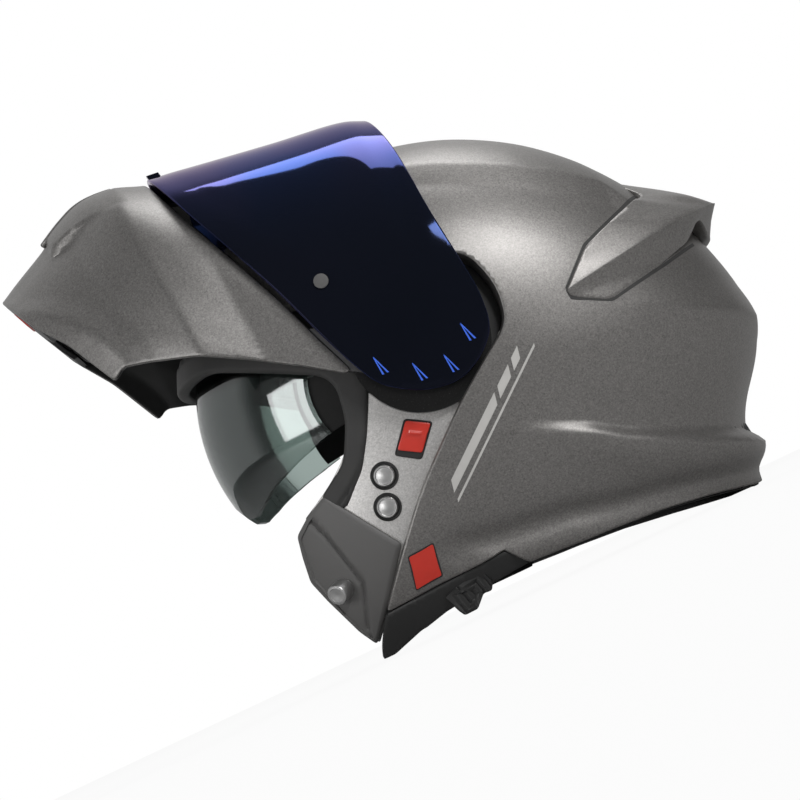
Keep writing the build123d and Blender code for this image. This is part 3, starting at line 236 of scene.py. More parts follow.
class Egg:
    """A rounded body: at the share s of its half width, its side outline is drawn in
    about a centre by the factor (1 - |s|^2.4)^(1/2.4)."""

    def __init__(self, shares, centre, half_width, inset=0.0):
        self.centre = centre
        self.half_width = half_width - inset
        rel = side(shares) - centre
        reach = np.linalg.norm(rel, axis=1)
        curve = spline(rel * (1 - inset / reach)[:, None], 24)
        angle = np.arctan2(curve[:, 1], curve[:, 0])
        order = np.argsort(angle)
        self.angles = angle[order]
        self.reaches = np.linalg.norm(curve, axis=1)[order]

    def reach(self, angle):
        """Distance of the outline from the centre in a direction."""
        return np.interp(angle, self.angles, self.reaches, period=2 * pi)

    def at(self, tilt, angle):
        """The point whose width share is sin(tilt)^(2/2.4), in a direction of the side view."""
        share = np.sign(np.sin(tilt)) * abs(np.sin(tilt)) ** (2 / BLUNT)
        keep = abs(np.cos(tilt)) ** (2 / BLUNT)
        reach = self.reach(angle) * keep
        return np.stack([self.centre[0] + reach * np.cos(angle),
                         share * self.half_width + 0 * reach,
                         self.centre[1] + reach * np.sin(angle)], -1)

    def grid(self, across=120, around=320):
        """The whole body as rows from one side to the other."""
        tilt = np.linspace(-pi / 2, pi / 2, across)
        angle = np.linspace(-pi, pi, around, endpoint=False)
        return self.at(tilt[:, None], angle[None, :])

    def share(self, x, z):
        """How far out side-view points lie: 0 at the centre and 1 on the outline."""
        rel_x, rel_z = x - self.centre[0], z - self.centre[1]
        return np.hypot(rel_x, rel_z) / self.reach(np.arctan2(rel_z, rel_x))

    def width(self, x, z):
        """Half width over a side-view point."""
        return self.half_width * np.clip(1 - self.share(x, z) ** BLUNT, 0, 1) ** (1 / BLUNT)

    def level(self, points):
        """1 on the body and less inside it."""
        x, y, z = points.T
        return (abs(y) / self.half_width) ** BLUNT + self.share(x, z) ** BLUNT

    def on_left(self, x, z, height):
        """Points a height above the left side, along its slope's normal."""
        step = 0.5
        y = self.width(x, z)
        slope_x = (self.width(x + step, z) - self.width(x - step, z)) / (2 * step)
        slope_z = (self.width(x, z + step) - self.width(x, z - step)) / (2 * step)
        long = np.sqrt(1 + slope_x ** 2 + slope_z ** 2)
        return np.stack([x - slope_x / long * height, -(y + height / long),
                         z - slope_z / long * height], -1)


def shell_body(inset=0.0):
    """The shell's round form, drawn in by an inset."""
    return Egg(SHELL_SHARES, CENTRE, SHELL_HALF_WIDTH, inset)


def chin_body(inset=0.0):
    """The shut chin bar's round form, drawn in by an inset."""
    return Egg(CHIN_SHARES, CENTRE, CHIN_HALF_WIDTH, inset)


SHELL = shell_body()
RECESS = Egg(SHELL_SHARES, CENTRE, RECESS_HALF_WIDTH + RECESS_DEPTH, RECESS_DEPTH)
CHIN = chin_body()
VISOR = Egg(VISOR_SHARES, VISOR_CENTRE, VISOR_HALF_WIDTH)
CAVITY = Egg(CAVITY_SHARES, CENTRE, CAVITY_HALF_WIDTH)
SPOILER = Egg(SPOILER_LINE_SHARES, CENTRE, SHELL_HALF_WIDTH + SPOILER_PROUD)


def lifted(points):
    """Turn points of the shut chin bar up to where it rests."""
    turn = radians(CHIN_TRAVEL)
    x, z = points[..., 0] - CHIN_HINGE[0], points[..., 2] - CHIN_HINGE[1]
    return np.stack([CHIN_HINGE[0] + x * cos(turn) + z * sin(turn), points[..., 1],
                     CHIN_HINGE[1] - x * sin(turn) + z * cos(turn)], -1)


def mirrored(points):
    """The same points on the right side."""
    return points * (1, -1, 1)


# Meshes from whole arrays
def grid_faces(rows, columns, wrap):
    """Two triangles for each cell of a grid of points."""
    i = np.arange(rows - 1)[:, None] * columns
    j = np.arange(columns if wrap else columns - 1)[None, :]
    k = (j + 1) % columns
    a, b, c, d = (v.ravel() for v in (i + j, i + k, i + columns + k, i + columns + j))
    return np.concatenate([np.stack([a, b, c], 1), np.stack([a, c, d], 1)])


def body_faces(rows, columns):
    """The faces of a whole rounded body, each of its two end rows drawn in to one point."""
    faces = grid_faces(rows, columns, True)
    faces[faces < columns] = 0
    faces[faces >= (rows - 1) * columns] = (rows - 1) * columns
    thin = (faces == np.roll(faces, 1, 1)).any(1)
    return faces[~thin]


def grid_normals(grid, wrap):
    """Outward unit normals of a grid, from the cross product of its two directions."""
    rows = np.gradient(grid, axis=0)
    if wrap:
        columns = (np.roll(grid, -1, 1) - np.roll(grid, 1, 1)) / 2
    else:
        columns = np.gradient(grid, axis=1)
    normal = np.cross(rows, columns)
    normal /= np.maximum(np.linalg.norm(normal, axis=2, keepdims=True), 1e-9)
    middle = grid.reshape(-1, 3).mean(0)
    flip = np.sign(((grid - middle) * normal).sum())
    return normal * flip


def facing(points, triangles, normals):
    """The triangles, all turned so that they face along the normals."""
    a, b, c = (points[triangles[:, k]] for k in range(3))
    agree = (np.cross(b - a, c - a) * normals[triangles[:, 0]]).sum()
    return triangles if agree > 0 else triangles[:, ::-1]


def clipped(rows, triangles, field):
    """Keep the part of a mesh where a field is positive: triangles that cross zero are
    cut where the field, taken as linear along each edge, vanishes."""
    field = np.where(abs(field) < 0.03, 0.0, field)
    keep = field >= 0
    inside = keep[triangles]
    count = inside.sum(1)
    whole = triangles[count == 3]
    one, two = triangles[count == 1], triangles[count == 2]
    first = np.argmax(inside[count == 1], 1)[:, None]
    one = np.take_along_axis(one, (first + [0, 1, 2]) % 3, 1)
    first = np.argmin(inside[count == 2], 1)[:, None]
    two = np.take_along_axis(two, (first + [0, 1, 2]) % 3, 1)
    pairs = np.concatenate([one[:, [0, 1]], one[:, [0, 2]], two[:, [0, 1]], two[:, [0, 2]]])
    pairs.sort(axis=1)
    unique, place = np.unique(pairs, axis=0, return_inverse=True)
    place = place.ravel() + len(rows)
    share = field[unique[:, 0]] / (field[unique[:, 0]] - field[unique[:, 1]])
    added = rows[unique[:, 0]] * (1 - share)[:, None] + rows[unique[:, 1]] * share[:, None]
    n, m = len(one), len(two)
    one_b, one_c, two_b, two_c = np.split(place, [n, 2 * n, 2 * n + m])
    made = [whole, np.stack([one[:, 0], one_b, one_c], 1),
            np.stack([two_b, two[:, 1], two[:, 2]], 1), np.stack([two_b, two[:, 2], two_c], 1)]
    triangles = np.concatenate(made)
    used, triangles = np.unique(triangles, return_inverse=True)
    return np.concatenate([rows, added])[used], triangles.reshape(-1, 3)


def walled(outer, inner, triangles, bulge, steps=6, square=2.0):
    """A closed wall between two faces. Its edge is a superellipse from face to face: the
    way in follows cos^(2/n) and the way out follows sin^(2/n) times the bulge."""
    count = len(outer)
    edges = np.concatenate([triangles[:, [0, 1]], triangles[:, [1, 2]], triangles[:, [2, 0]]])
    keys, back = edges[:, 0] * count + edges[:, 1], edges[:, 1] * count + edges[:, 0]
    rim = edges[~np.isin(keys, back)]
    ring, local = np.unique(rim, return_inverse=True)
    local = local.reshape(-1, 2)
    across = outer - inner
    thick = np.linalg.norm(across, axis=1, keepdims=True)
    across = across / np.maximum(thick, 1e-9)
    out = np.zeros((len(ring), 3))
    way = np.cross(outer[rim[:, 1]] - outer[rim[:, 0]], across[rim].sum(1))
    np.add.at(out, local[:, 0], way)
    np.add.at(out, local[:, 1], way)
    out /= np.maximum(np.linalg.norm(out, axis=1, keepdims=True), 1e-9)
    middle, half = (outer[ring] + inner[ring]) / 2, thick[ring] / 2
    points, faces, upper = [outer, inner], [triangles, triangles[:, ::-1] + count], ring
    for step in range(1, steps + 1):
        turn = pi * step / steps
        if step < steps:
            lean = np.sign(cos(turn)) * abs(cos(turn)) ** (2 / square)
            points.append(middle + half * lean * across[ring]
                          + bulge * sin(turn) ** (2 / square) * out)
            lower = 2 * count + (step - 1) * len(ring) + np.arange(len(ring))
        else:
            lower = ring + count
        a, b = local[:, 0], local[:, 1]
        faces.append(np.stack([upper[b], upper[a], lower[a]], 1))
        faces.append(np.stack([upper[b], lower[a], lower[b]], 1))
        upper = lower
    return np.concatenate(points), np.concatenate(faces)


def mesh_piece(name, points, triangles, finish, slot, sharp=38.0, weld=0.02, lining=None):
    """A mesh object in metres, welded, with smooth faces and creases past an angle. A
    lining is the finish of the faces that look towards the helmet's middle."""
    mesh = bpy.data.meshes.new(name)
    mesh.from_pydata((points * MM).tolist(), [], triangles.tolist())
    if lining is not None:
        a, b, c = (points[triangles[:, k]] for k in range(3))
        normal = np.cross(b - a, c - a)
        out = (a + b + c) / 3 - np.array((CENTRE[0], 0, CENTRE[1]))
        inward = (normal * out).sum(1) < -0.25 * (np.linalg.norm(normal, axis=1)
                                                  * np.linalg.norm(out, axis=1))
        mesh.polygons.foreach_set("material_index", inward.astype(np.int32))
    work = bmesh.new()
    work.from_mesh(mesh)
    bmesh.ops.remove_doubles(work, verts=work.verts, dist=weld * MM)
    bmesh.ops.dissolve_degenerate(work, edges=work.edges, dist=weld * MM / 4)
    work.to_mesh(mesh)
    work.free()
    mesh.shade_smooth()
    mesh.set_sharp_from_angle(angle=radians(sharp))
    mesh.materials.append(finish)
    if lining is not None:
        mesh.materials.append(lining)
    piece = bpy.data.objects.new(name, mesh)
    bpy.context.scene.collection.objects.link(piece)
    return piece


def facing_out(points, faces):
    """A closed body, its faces turned outward by the sign of its volume."""
    a, b, c = (points[faces[:, k]] - points.mean(0) for k in range(3))
    return points, faces if (np.cross(a, b) * c).sum() > 0 else faces[:, ::-1]


def joined(parts):
    """Several (points, triangles) as one."""
    points, faces, start = [], [], 0
    for part, triangles in parts:
        points.append(part)
        faces.append(triangles + start)
        start += len(part)
    return np.concatenate(points), np.concatenate(faces)


def skin(egg, keep, thickness, relief=None, bulge=0.6, square=3.0, steps=6, size=(120, 320)):
    """A wall cut out of a rounded body. The relief lifts its outer face along the normal,
    the thickness is a number or a function, and keep gives fields that stay positive."""
    grid = egg.grid(*size)
    normals = grid_normals(grid, True)
    normals[0], normals[-1] = (0, -1, 0), (0, 1, 0)
    normals, base = normals.reshape(-1, 3), grid.reshape(-1, 3)
    faces = facing(base, body_faces(*size), normals)
    outer = base if relief is None else base + normals * relief(base, normals)[:, None]
    wall = thickness(base, normals) if callable(thickness) else np.full(len(base), thickness)
    inner = outer - normals * wall[:, None]
    rows = np.concatenate([outer, inner, base], 1)
    for field in keep:
        rows, faces = clipped(rows, faces, field(rows[:, 6:]) - bulge)
    return walled(rows[:, :3], rows[:, 3:6], faces, bulge, steps, square)


def lifted_skin(*form, **more):
    """A skin drawn on the shut chin bar, turned up with it."""
    points, faces = skin(*form, **more)
    return lifted(points), faces


def within(outline):
    """A field: inside an outline of the side view."""
    return lambda p: depth_in(p[:, [0, 2]], outline)


def outside(outline):
    """A field: outside an outline of the side view."""
    return lambda p: -depth_in(p[:, [0, 2]], outline)


def raised(outline, profile, mapping, rings=8, relief=None):
    """A closed slab over a star-shaped outline: its profile gives pairs of inset and
    height from the bottom edge to the top edge, and rings then draw in to the middle
    of the outline. The mapping carries (first, second, height) into space."""
    outline = np.asarray(outline, float)
    middle = outline.mean(0)
    rel = outline - middle
    reach = np.linalg.norm(rel, axis=1)[:, None]
    rows, heights = [], []
    low_inset, low = profile[0]
    high_inset, high = profile[-1]
    for share in np.linspace(0, 1, rings, endpoint=False):
        rows.append(middle + rel * (1 - low_inset / reach) * share)
        heights.append(np.full(len(rel), low))
    for inset, height in profile:
        rows.append(middle + rel * (1 - inset / reach))
        heights.append(np.full(len(rel), height))
    for share in np.linspace(1, 0, rings * 2 + 1)[1:]:
        rows.append(middle + rel * (1 - high_inset / reach) * share)
        heights.append(np.full(len(rel), high))
    flat, height = np.array(rows), np.array(heights)
    if relief is not None:
        top = (np.arange(len(flat)) >= rings + len(profile) - 1)[:, None]
        height = height + relief(flat[..., 0], flat[..., 1]) * top
    points = mapping(flat[..., 0], flat[..., 1], height)
    return facing_out(points.reshape(-1, 3), grid_faces(*flat.shape[:2], True))


def turned(profile, origin, axis, sides=48):
    """A body of revolution: a profile of (radius, height) carried round an axis."""
    axis = np.asarray(axis, float) / np.linalg.norm(axis)
    first = np.cross(axis, (0.0, 0.0, 1.0) if abs(axis[2]) < 0.9 else (1.0, 0.0, 0.0))
    first /= np.linalg.norm(first)
    second = np.cross(axis, first)
    angle = np.linspace(0, 2 * pi, sides, endpoint=False)[None, :, None]
    radius, height = (np.asarray(profile, float)[:, k][:, None, None] for k in (0, 1))
    points = (np.asarray(origin, float) + axis * height
              + radius * (np.cos(angle) * first + np.sin(angle) * second))
    return facing_out(points.reshape(-1, 3), grid_faces(len(profile), sides, True))


def flat_map(origin, first, second, up):
    """A mapping onto a plane in space."""
    origin, first, second, up = (np.asarray(v, float) for v in (origin, first, second, up))
    return lambda a, b, h: (origin + a[..., None] * first + b[..., None] * second
                            + h[..., None] * up)


# Shader maths
class Value:
    """A number or colour in a node tree. Arithmetic on it adds Math nodes."""

    def __init__(self, maker, socket):
        self.maker, self.socket = maker, socket

    def math(self, operation, *others):
        """A Math node on this value and others."""
        return self.maker.node("Math", {"operation": operation}, self, *others)

    def __add__(self, other):
        return self.math("ADD", other)

    def __mul__(self, other):
        return self.math("MULTIPLY", other)

    def __sub__(self, other):
        return self.math("SUBTRACT", other)

    def __rsub__(self, other):
        return (self * -1) + other

    def __pow__(self, other):
        return self.math("POWER", other)

    __radd__, __rmul__ = __add__, __mul__

    def above(self, low, high, least=0.0, most=1.0):
        """Ease from the least at low to the most at high."""
        return self.maker.node("MapRange", {"interpolation_type": "SMOOTHSTEP"}, Value=self,
                               **{"From Min": low, "From Max": high,
                                  "To Min": least, "To Max": most})


class Nodes:
    """A node tree under construction."""

    def __init__(self, tree):
        self.tree = tree

    def node(self, kind, settings=None, *values, output=0, **sockets):
        """One node: its settings are set first, then its sockets by place or by name."""
        made = self.tree.nodes.new("ShaderNode" + kind)
        for key, value in (settings or {}).items():
            setattr(made, key, value)
        for place, value in [*enumerate(values), *sockets.items()]:
            self.put(made.inputs[place], value)
        return Value(self, made.outputs[output])

    def put(self, socket, value):
        """Give a socket a link or a constant."""
        if isinstance(value, Value):
            self.tree.links.new(value.socket, socket)
        else:
            socket.default_value = value


class Finish(Nodes):
    """A material under construction."""

    def __init__(self, name):
        self.material = bpy.data.materials.new(name)
        self.material.use_nodes = True
        super().__init__(self.material.node_tree)
        self.shader = self.tree.nodes["Principled BSDF"]

    def place(self):
        """Position in the helmet's own frame."""
        return self.node("TexCoord", output=3)

    def noise(self, scale, detail=2.0, rough=0.5, coordinates=None):
        """Noise from 0 to 1, with features about 1/scale metres across."""
        return self.node("TexNoise", {}, Vector=coordinates or self.place(), Scale=scale,
                         Detail=detail, Roughness=rough)

    def blend(self, share, first, second):
        """A colour between two, by a share."""
        made = self.tree.nodes.new("ShaderNodeMix")
        made.data_type = "RGBA"
        for place, value in ((0, share), (6, first), (7, second)):
            self.put(made.inputs[place], value)
        return Value(self, made.outputs[2])

    def bump(self, height, distance, strength=1.0):
        """A normal bent by a height, the distance in millimetres."""
        return self.node("Bump", {}, Strength=strength, Distance=distance * MM, Height=height)

    def surface(self, **sockets):
        """Fill the principled shader's sockets and hand the material over."""
        for name, value in sockets.items():
            self.put(self.shader.inputs[name.replace("_", " ")], value)
        return self.material

    def mixed(self, share, first, second):
        """Hand over a mix of two shader nodes, from the first to the second by a share."""
        mix = self.tree.nodes.new("ShaderNodeMixShader")
        self.put(mix.inputs[0], share)
        for place, node in ((1, first), (2, second)):
            self.tree.links.new(node.outputs[0], mix.inputs[place])
        output = self.tree.nodes["Material Output"]
        self.tree.links.new(mix.outputs[0], output.inputs[0])
        return self.material


def grey(level, warmth=0.0):
    """A near-neutral colour."""
    return (level * (1 + warmth), level, level * (1 - warmth), 1.0)


def metallic_paint(name, dark, light, warmth=0.015):
    """Satin paint with fine aluminium flake: each tiny cell gets its own brightness."""
    made = Finish(name)
    flakes = made.node("TexVoronoi", {"feature": "F1"}, Vector=made.place(), Scale=1900.0,
                       output=1)
    spark = made.node("SeparateColor", {}, flakes)
    cloud = made.noise(900.0, 3.0, 0.6)
    drift = made.noise(9.0, 2.0)
    share = spark * 0.32 + cloud * 0.75 + drift * 0.15 - 0.14
    colour = made.blend(share, grey(dark, warmth), grey(light, warmth))
    return made.surface(Base_Color=colour, Metallic=0.72, Roughness=cloud * 0.14 + 0.36,
                        Specular_IOR_Level=0.4,
                        Normal=made.bump(spark * 0.5 + cloud, 0.03, 0.35))


def moulded_plastic(name, colour, grain, roughness, depth=0.05):
    """Moulded plastic with a fine leathery grain."""
    made = Finish(name)
    cells = made.node("TexVoronoi", {"feature": "SMOOTH_F1"}, Vector=made.place(), Scale=grain)
    fine = made.noise(grain * 2.2, 3.0)
    wear = made.noise(35.0, 3.0)
    return made.surface(
        Base_Color=made.blend(wear * 0.5 + fine * 0.5, colour,
                              tuple(c * 1.5 for c in colour[:3]) + (1.0,)),
        Roughness=fine * 0.2 + roughness, Specular_IOR_Level=0.4,
        Normal=made.bump(cells + fine * 0.4, depth, 0.6))


def brushed_steel(name, level, roughness):
    """Turned steel with fine rings of polish."""
    made = Finish(name)
    scratch = made.noise(2600.0, 2.0)
    cloud = made.noise(220.0, 2.0)
    return made.surface(Base_Color=made.blend(cloud, grey(level), grey(level * 1.25, 0.01)),
                        Metallic=1.0, Roughness=scratch * 0.18 + roughness,
                        Normal=made.bump(scratch, 0.01, 0.4))


def rubber(name, level):
    """Soft black rubber with a faint bloom."""
    made = Finish(name)
    bloom, fine = made.noise(60.0, 4.0), made.noise(1500.0, 2.0)
    return made.surface(Base_Color=made.blend(bloom, grey(level), grey(level * 2.2, 0.02)),
                        Roughness=bloom * 0.2 + 0.5, Specular_IOR_Level=0.35,
                        Normal=made.bump(fine, 0.04, 0.4))


def knitted_lining(name, level, pitch=1.1):
    """Brushed knit: small loops in crossed rows over a soft nap."""
    made = Finish(name)
    place = made.place()
    loops = made.node("TexWave", {"bands_direction": "DIAGONAL"}, output=1, Vector=place,
                      Scale=1 / (pitch * MM * 6.3), Distortion=3.0, Detail=1.0)
    cross = made.node("TexWave", {"bands_direction": "Z"}, output=1, Vector=place,
                      Scale=1 / (pitch * MM * 6.3), Distortion=3.0, Detail=1.0)
    weave = loops * cross
    nap = made.noise(2300.0, 3.0)
    return made.surface(Base_Color=made.blend(nap, grey(level), grey(level * 2.6)),
                        Roughness=0.92, Sheen_Weight=0.5, Sheen_Roughness=0.4,
                        Normal=made.bump(weave + nap * 0.5, 0.35, 0.7))


def woven_webbing(name, level):
    """Flat webbing: slanted ribs that cross."""
    made = Finish(name)
    nap, ribs = made.noise(2600.0, 2.0), made.noise(700.0, 1.0)
    return made.surface(Base_Color=made.blend(nap, grey(level), grey(level * 2.5)),
                        Roughness=0.85, Normal=made.bump(ribs + nap * 0.4, 0.25, 0.7))


def beads_of_foam(name, level):
    """Expanded foam: pressed beads with darker seams."""
    made = Finish(name)
    beads = made.node("TexVoronoi", {"feature": "DISTANCE_TO_EDGE"}, Vector=made.place(),
                      Scale=320.0)
    seam = beads.above(0.0, 0.12)
    return made.surface(Base_Color=made.blend(seam, grey(level * 0.6), grey(level * 1.3)),
                        Roughness=0.8, Normal=made.bump(seam, 0.15, 0.6))


def coloured_plastic(name, colour):
    """Glossy coloured plastic or print, slightly uneven."""
    made = Finish(name)
    cloud = made.noise(140.0, 3.0)
    darker = tuple(c * 0.8 for c in colour[:3]) + (1.0,)
    return made.surface(Base_Color=made.blend(cloud, darker, colour),
                        Roughness=cloud * 0.12 + 0.3,
                        Normal=made.bump(made.noise(900.0), 0.02, 0.4))


def mirror_film(name):
    """A near-black visor under a blue film that shows at the grazing edges and in
    whatever bright thing it mirrors."""
    made = Finish(name)
    film = made.tree.nodes.new("ShaderNodeBsdfPrincipled")
    drift = made.noise(14.0, 2.0)
    made.put(film.inputs["Base Color"], made.blend(drift.above(0.35, 0.7),
                                                   (0.06, 0.16, 0.62, 1), (0.16, 0.17, 0.55, 1)))
    film.inputs["Metallic"].default_value = 1.0
    film.inputs["Roughness"].default_value = 0.06
    film.inputs["Specular Tint"].default_value = (1.0, 0.84, 0.86, 1.0)
    made.surface(Base_Color=made.blend(drift, (0.004, 0.005, 0.008, 1), (0.006, 0.007, 0.012, 1)),
                 Roughness=0.07, Specular_IOR_Level=0.03)
    facing_share = made.node("LayerWeight", {}, Blend=0.42, output=1)
    return made.mixed(facing_share ** 1.8 * 0.95 + 0.005, made.shader, film)


def smoked_lens(name):
    """A thin grey-green tinted lens: light passes straight through and loses some."""
    made = Finish(name)
    tint = made.tree.nodes.new("ShaderNodeBsdfTransparent")
    tint.inputs[0].default_value = (0.62, 0.68, 0.66, 1)
    drift = made.noise(8.0, 1.0)
    made.surface(Base_Color=made.blend(drift, (0.80, 0.82, 0.82, 1), (0.86, 0.88, 0.88, 1)),
                 Roughness=0.05, Metallic=1.0)
    share = made.node("Fresnel", {}, IOR=1.7)
    return made.mixed(share * 0.9 + 0.05, tint, made.shader)


PAINT = metallic_paint("satin_anthracite", 0.09, 0.30, 0.035)
CHIN_PAINT = metallic_paint("satin_grey", 0.09, 0.31, 0.03)
# The side panels' paint is paler than the shell's: partly the panels' own lighter tone, partly
# painted light standing in for the front lamp they face.
PANEL_PAINT_AND_LIGHT = metallic_paint("satin_silver_painted_light", 0.32, 0.74, 0.02)
FILM = mirror_film("mirror_visor")
# The visor's darts are real raised marks; their vivid blue colour is a painted reflection standing
# in for the film's blue glint on them.
BLUE_GLINT_MARK = coloured_plastic("blue_glint_mark", (0.05, 0.16, 0.85, 1.0))
LENS = smoked_lens("smoked_lens")
LATCH_PLASTIC = moulded_plastic("grained_plastic", grey(0.082, 0.02), 1500.0, 0.42, 0.06)
BLACK_PLASTIC = moulded_plastic("black_plastic", grey(0.016), 1800.0, 0.36)
GLOSS_PLASTIC = moulded_plastic("polished_plastic", grey(0.012), 900.0, 0.14, 0.01)
STEEL = brushed_steel("turned_steel", 0.42, 0.32)
DARK_METAL = brushed_steel("dark_metal", 0.16, 0.34)
RUBBER = rubber("black_rubber", 0.022)
LINING = knitted_lining("brushed_lining", 0.018)
WEBBING = woven_webbing("webbing", 0.012)
FOAM = beads_of_foam("pressed_foam", 0.05)
RED = coloured_plastic("red_plastic", (0.62, 0.035, 0.02, 1.0))
STRIPE = coloured_plastic("pale_stripe", (0.55, 0.54, 0.52, 1.0))


# Outer shell
MID_CREASE = ((-12, 84), (8, 75.4), (26, 67), (42, 57), (60, 48.5), (78, 41), (100, 33), (114, 29))
FLARE_LINE = ((-75, 40), (-42, 33), (-22, 30.4), (-2, 28), (19, 23), (48, 18), (81, 12), (109, 9))
UPPER_CREASE = ((60, 115), (83, 106.5), (101, 97), (120, 90), (147, 82))
CROWN_EDGE = ((-90, 84), (-60, 87), (-2, 89.5), (27, 92), (45, 91), (61, 88.5), (76, 84), (90, 78),
              (98, 80), (108, 78), (115, 75), (123, 71), (132, 66), (143, 60), (156, 56))
CROWN_DROP = 3.9


def crown_edge(x):
    """How far out the crisp edge beside the crown lies."""
    along, out = np.array(CROWN_EDGE, float).T
    return np.interp(x, along, out)


def crown_relief(x, y, z):
    """The crown lies lower than the round body, comes up to a crisp edge on either side of
    it and falls away outside that."""
    away, edge = abs(y), crown_edge(x)
    share = np.clip((away / edge - 0.45) / 0.55, 0, 1)
    shelf = -CROWN_DROP + (CROWN_DROP + 1.7) * share ** 1.5
    flank = np.interp(away - edge, (0, 10, 22), (1.7, -0.5, 0))
    return smooth(z, 135, 165) * np.where(away < edge, shelf, flank)


def roof(height, front, back):
    """A sharp ridge line that falls straight off on both sides: 1 on it and 0 past its feet."""
    return np.clip(1 - np.where(height > 0, height / back, -height / front), 0, 1)


def ledge_hollow(x, z):
    """How deep the shell is drawn in over the ledge towards the tail."""
    mid = above(x, z, MID_CREASE)
    near = np.where(mid > 0, np.exp(-(mid / 23) ** 2), 1 - smooth(-mid, 0, 9))
    return near * np.interp(x, (-16, 20, 60, 114), (0, 2.0, 3.6, 7.4))


def shell_relief(base, normals):
    """Creases pressed into the shell: ridges that fall off above and below their lines."""
    x, y, z = base.T
    mid, flare, upper = (above(x, z, line) for line in (MID_CREASE, FLARE_LINE, UPPER_CREASE))
    swell = smooth(-mid, 0, 9) * (1 - smooth(-mid, 12, 34))
    made = smooth(x, -16, 60) * 2.6 * swell - ledge_hollow(x, z)
    made += smooth(x, -80, -45) * (3.6 * smooth(-flare, 0, 14) - 2.2 * np.exp(-(flare / 6) ** 2))
    made += smooth(x, 58, 115) * 2.2 * roof(upper, 14, 18)
    return made + crown_relief(x, y, z)


def shell_wall(base, normals):
    """The wall, thickened near the ridge until it reaches down to the recess."""
    x, y, z = base.T
    step = (SHELL.width(x, z) - RECESS.width(x, z)) * abs(normals[:, 1])
    step = np.clip(np.where(abs(normals[:, 1]) > 0.35, step, 2.0), 2.0, 13.0) + 1.5
    near = 1 - smooth(-depth_in(base[:, [0, 2]], RECESS_ZONE), 2, 12)
    return SHELL_WALL + np.maximum(step - SHELL_WALL, 0) * near


HINGE_EDGE = ((-84, 143), (-66, 132), (-56, 117), (-45, 111), (-25, 107), (-8, 112), (6, 128))


def mouth_gap(p):
    """A field: outside the gap in front of the mouth."""
    return np.maximum(np.maximum(p[:, 0] + 80, p[:, 2] - 115), abs(p[:, 1]) - MOUTH_HALF)


def lowered_body(sign):
    """The lowered body under the hinge's edge, for sign 1, or above it, for sign -1."""
    wider = rounded(side(RECESS_SHARES) + (side(RECESS_SHARES) - CHIN_HINGE) * 0.02, 9)

    def hinge_side(p):
        """Which side of the hinge's edge a point is on."""
        return -sign * above(p[:, 0], p[:, 2], HINGE_EDGE) + 0.6

    return skin(RECESS, [within(wider), outside(FACE_CUT), outside(HEM_CUT), mouth_gap,
                         hinge_side], SHELL_WALL, bulge=0.6)


def outer_shell():
    """The upper body outside the recess, with its creases."""
    return skin(SHELL, [outside(RECESS_ZONE), outside(LOW_HEM_CUT)], shell_wall, shell_relief,
                bulge=1.3, square=2.6, steps=8, size=(180, 400))


def room_over(body, base):
    """How far points lie outside another body with the same centre, along their ray."""
    x, y, z = base.T
    share = 1 - 1 / np.maximum(body.level(base), 1e-6) ** (1 / BLUNT)
    return share * np.hypot(np.hypot(x - CENTRE[0], z - CENTRE[1]), y)


def spoiler_wall(base, normals):
    """As thick as the room between the spoiler and the shell under it."""
    return np.clip(room_over(SHELL, base) + spoiler_relief(base, normals) + 3.4, 2.4, 20.0)


FIN_FOLD = ((80, 156), (91, 152.6), (107, 146.1), (131, 140.3), (150, 137))


def spoiler_relief(base, normals):
    """The crown's form runs on to the tail. The front end lies flush with the shell, and
    sinks under it across the crown; a fold runs along each fin."""
    x, y, z = base.T
    room = room_over(SHELL, base)
    crown = crown_relief(x, y, z) - np.minimum(3.3 + 6.0 * (1 - smooth(x, 104, 138)),
                                               room + 1.6 * (1 - smooth(x, 108, 124)))
    fold = above(x, z, FIN_FOLD)
    fin = 1.2 * roof(fold, 14, 14) - np.clip(room - 0.7, 0, 3.4)
    share = smooth(crown_edge(x) - abs(y), -9, 2)
    return crown * share + fin * (1 - share)


def spoiler_cap():
    """The spoiler with its two fins, over the shell."""
    return skin(SPOILER, [within(SPOILER_ZONE)], spoiler_wall, spoiler_relief, bulge=1.0,
                square=2.4, size=(150, 330))


# The line of the painted shadow along each fin's seam.
FIN_SHADOW_LINE_SHARES = ((0.552, 0.702), (0.565, 0.675), (0.32, 0.595), (0.225, 0.526),
                   (0.225, 0.504), (0.32, 0.468), (0.50, 0.496), (0.615, 0.52))


def shell_side(x, z, height):
    """Points above the shell's left side, its relief included."""
    base = SHELL.on_left(x, z, np.zeros_like(x))
    flat = base.reshape(-1, 3)
    extra = shell_relief(flat, np.zeros_like(flat)).reshape(x.shape)
    return SHELL.on_left(x, z, height + extra)


def laid_strip(rows, high, low):
    """A thin strip laid on the shell's left side, from rows of side-view points."""
    x, z = rows[..., 0], rows[..., 1]
    top, bottom = (shell_side(x, z, np.full(x.shape, height)) for height in (high, low))
    flat = top.reshape(-1, 3)
    faces = facing(flat, grid_faces(*x.shape, False), np.tile((0.0, -1.0, 0.0), (len(flat), 1)))
    return walled(flat, bottom.reshape(-1, 3), faces, 0.05, 2)


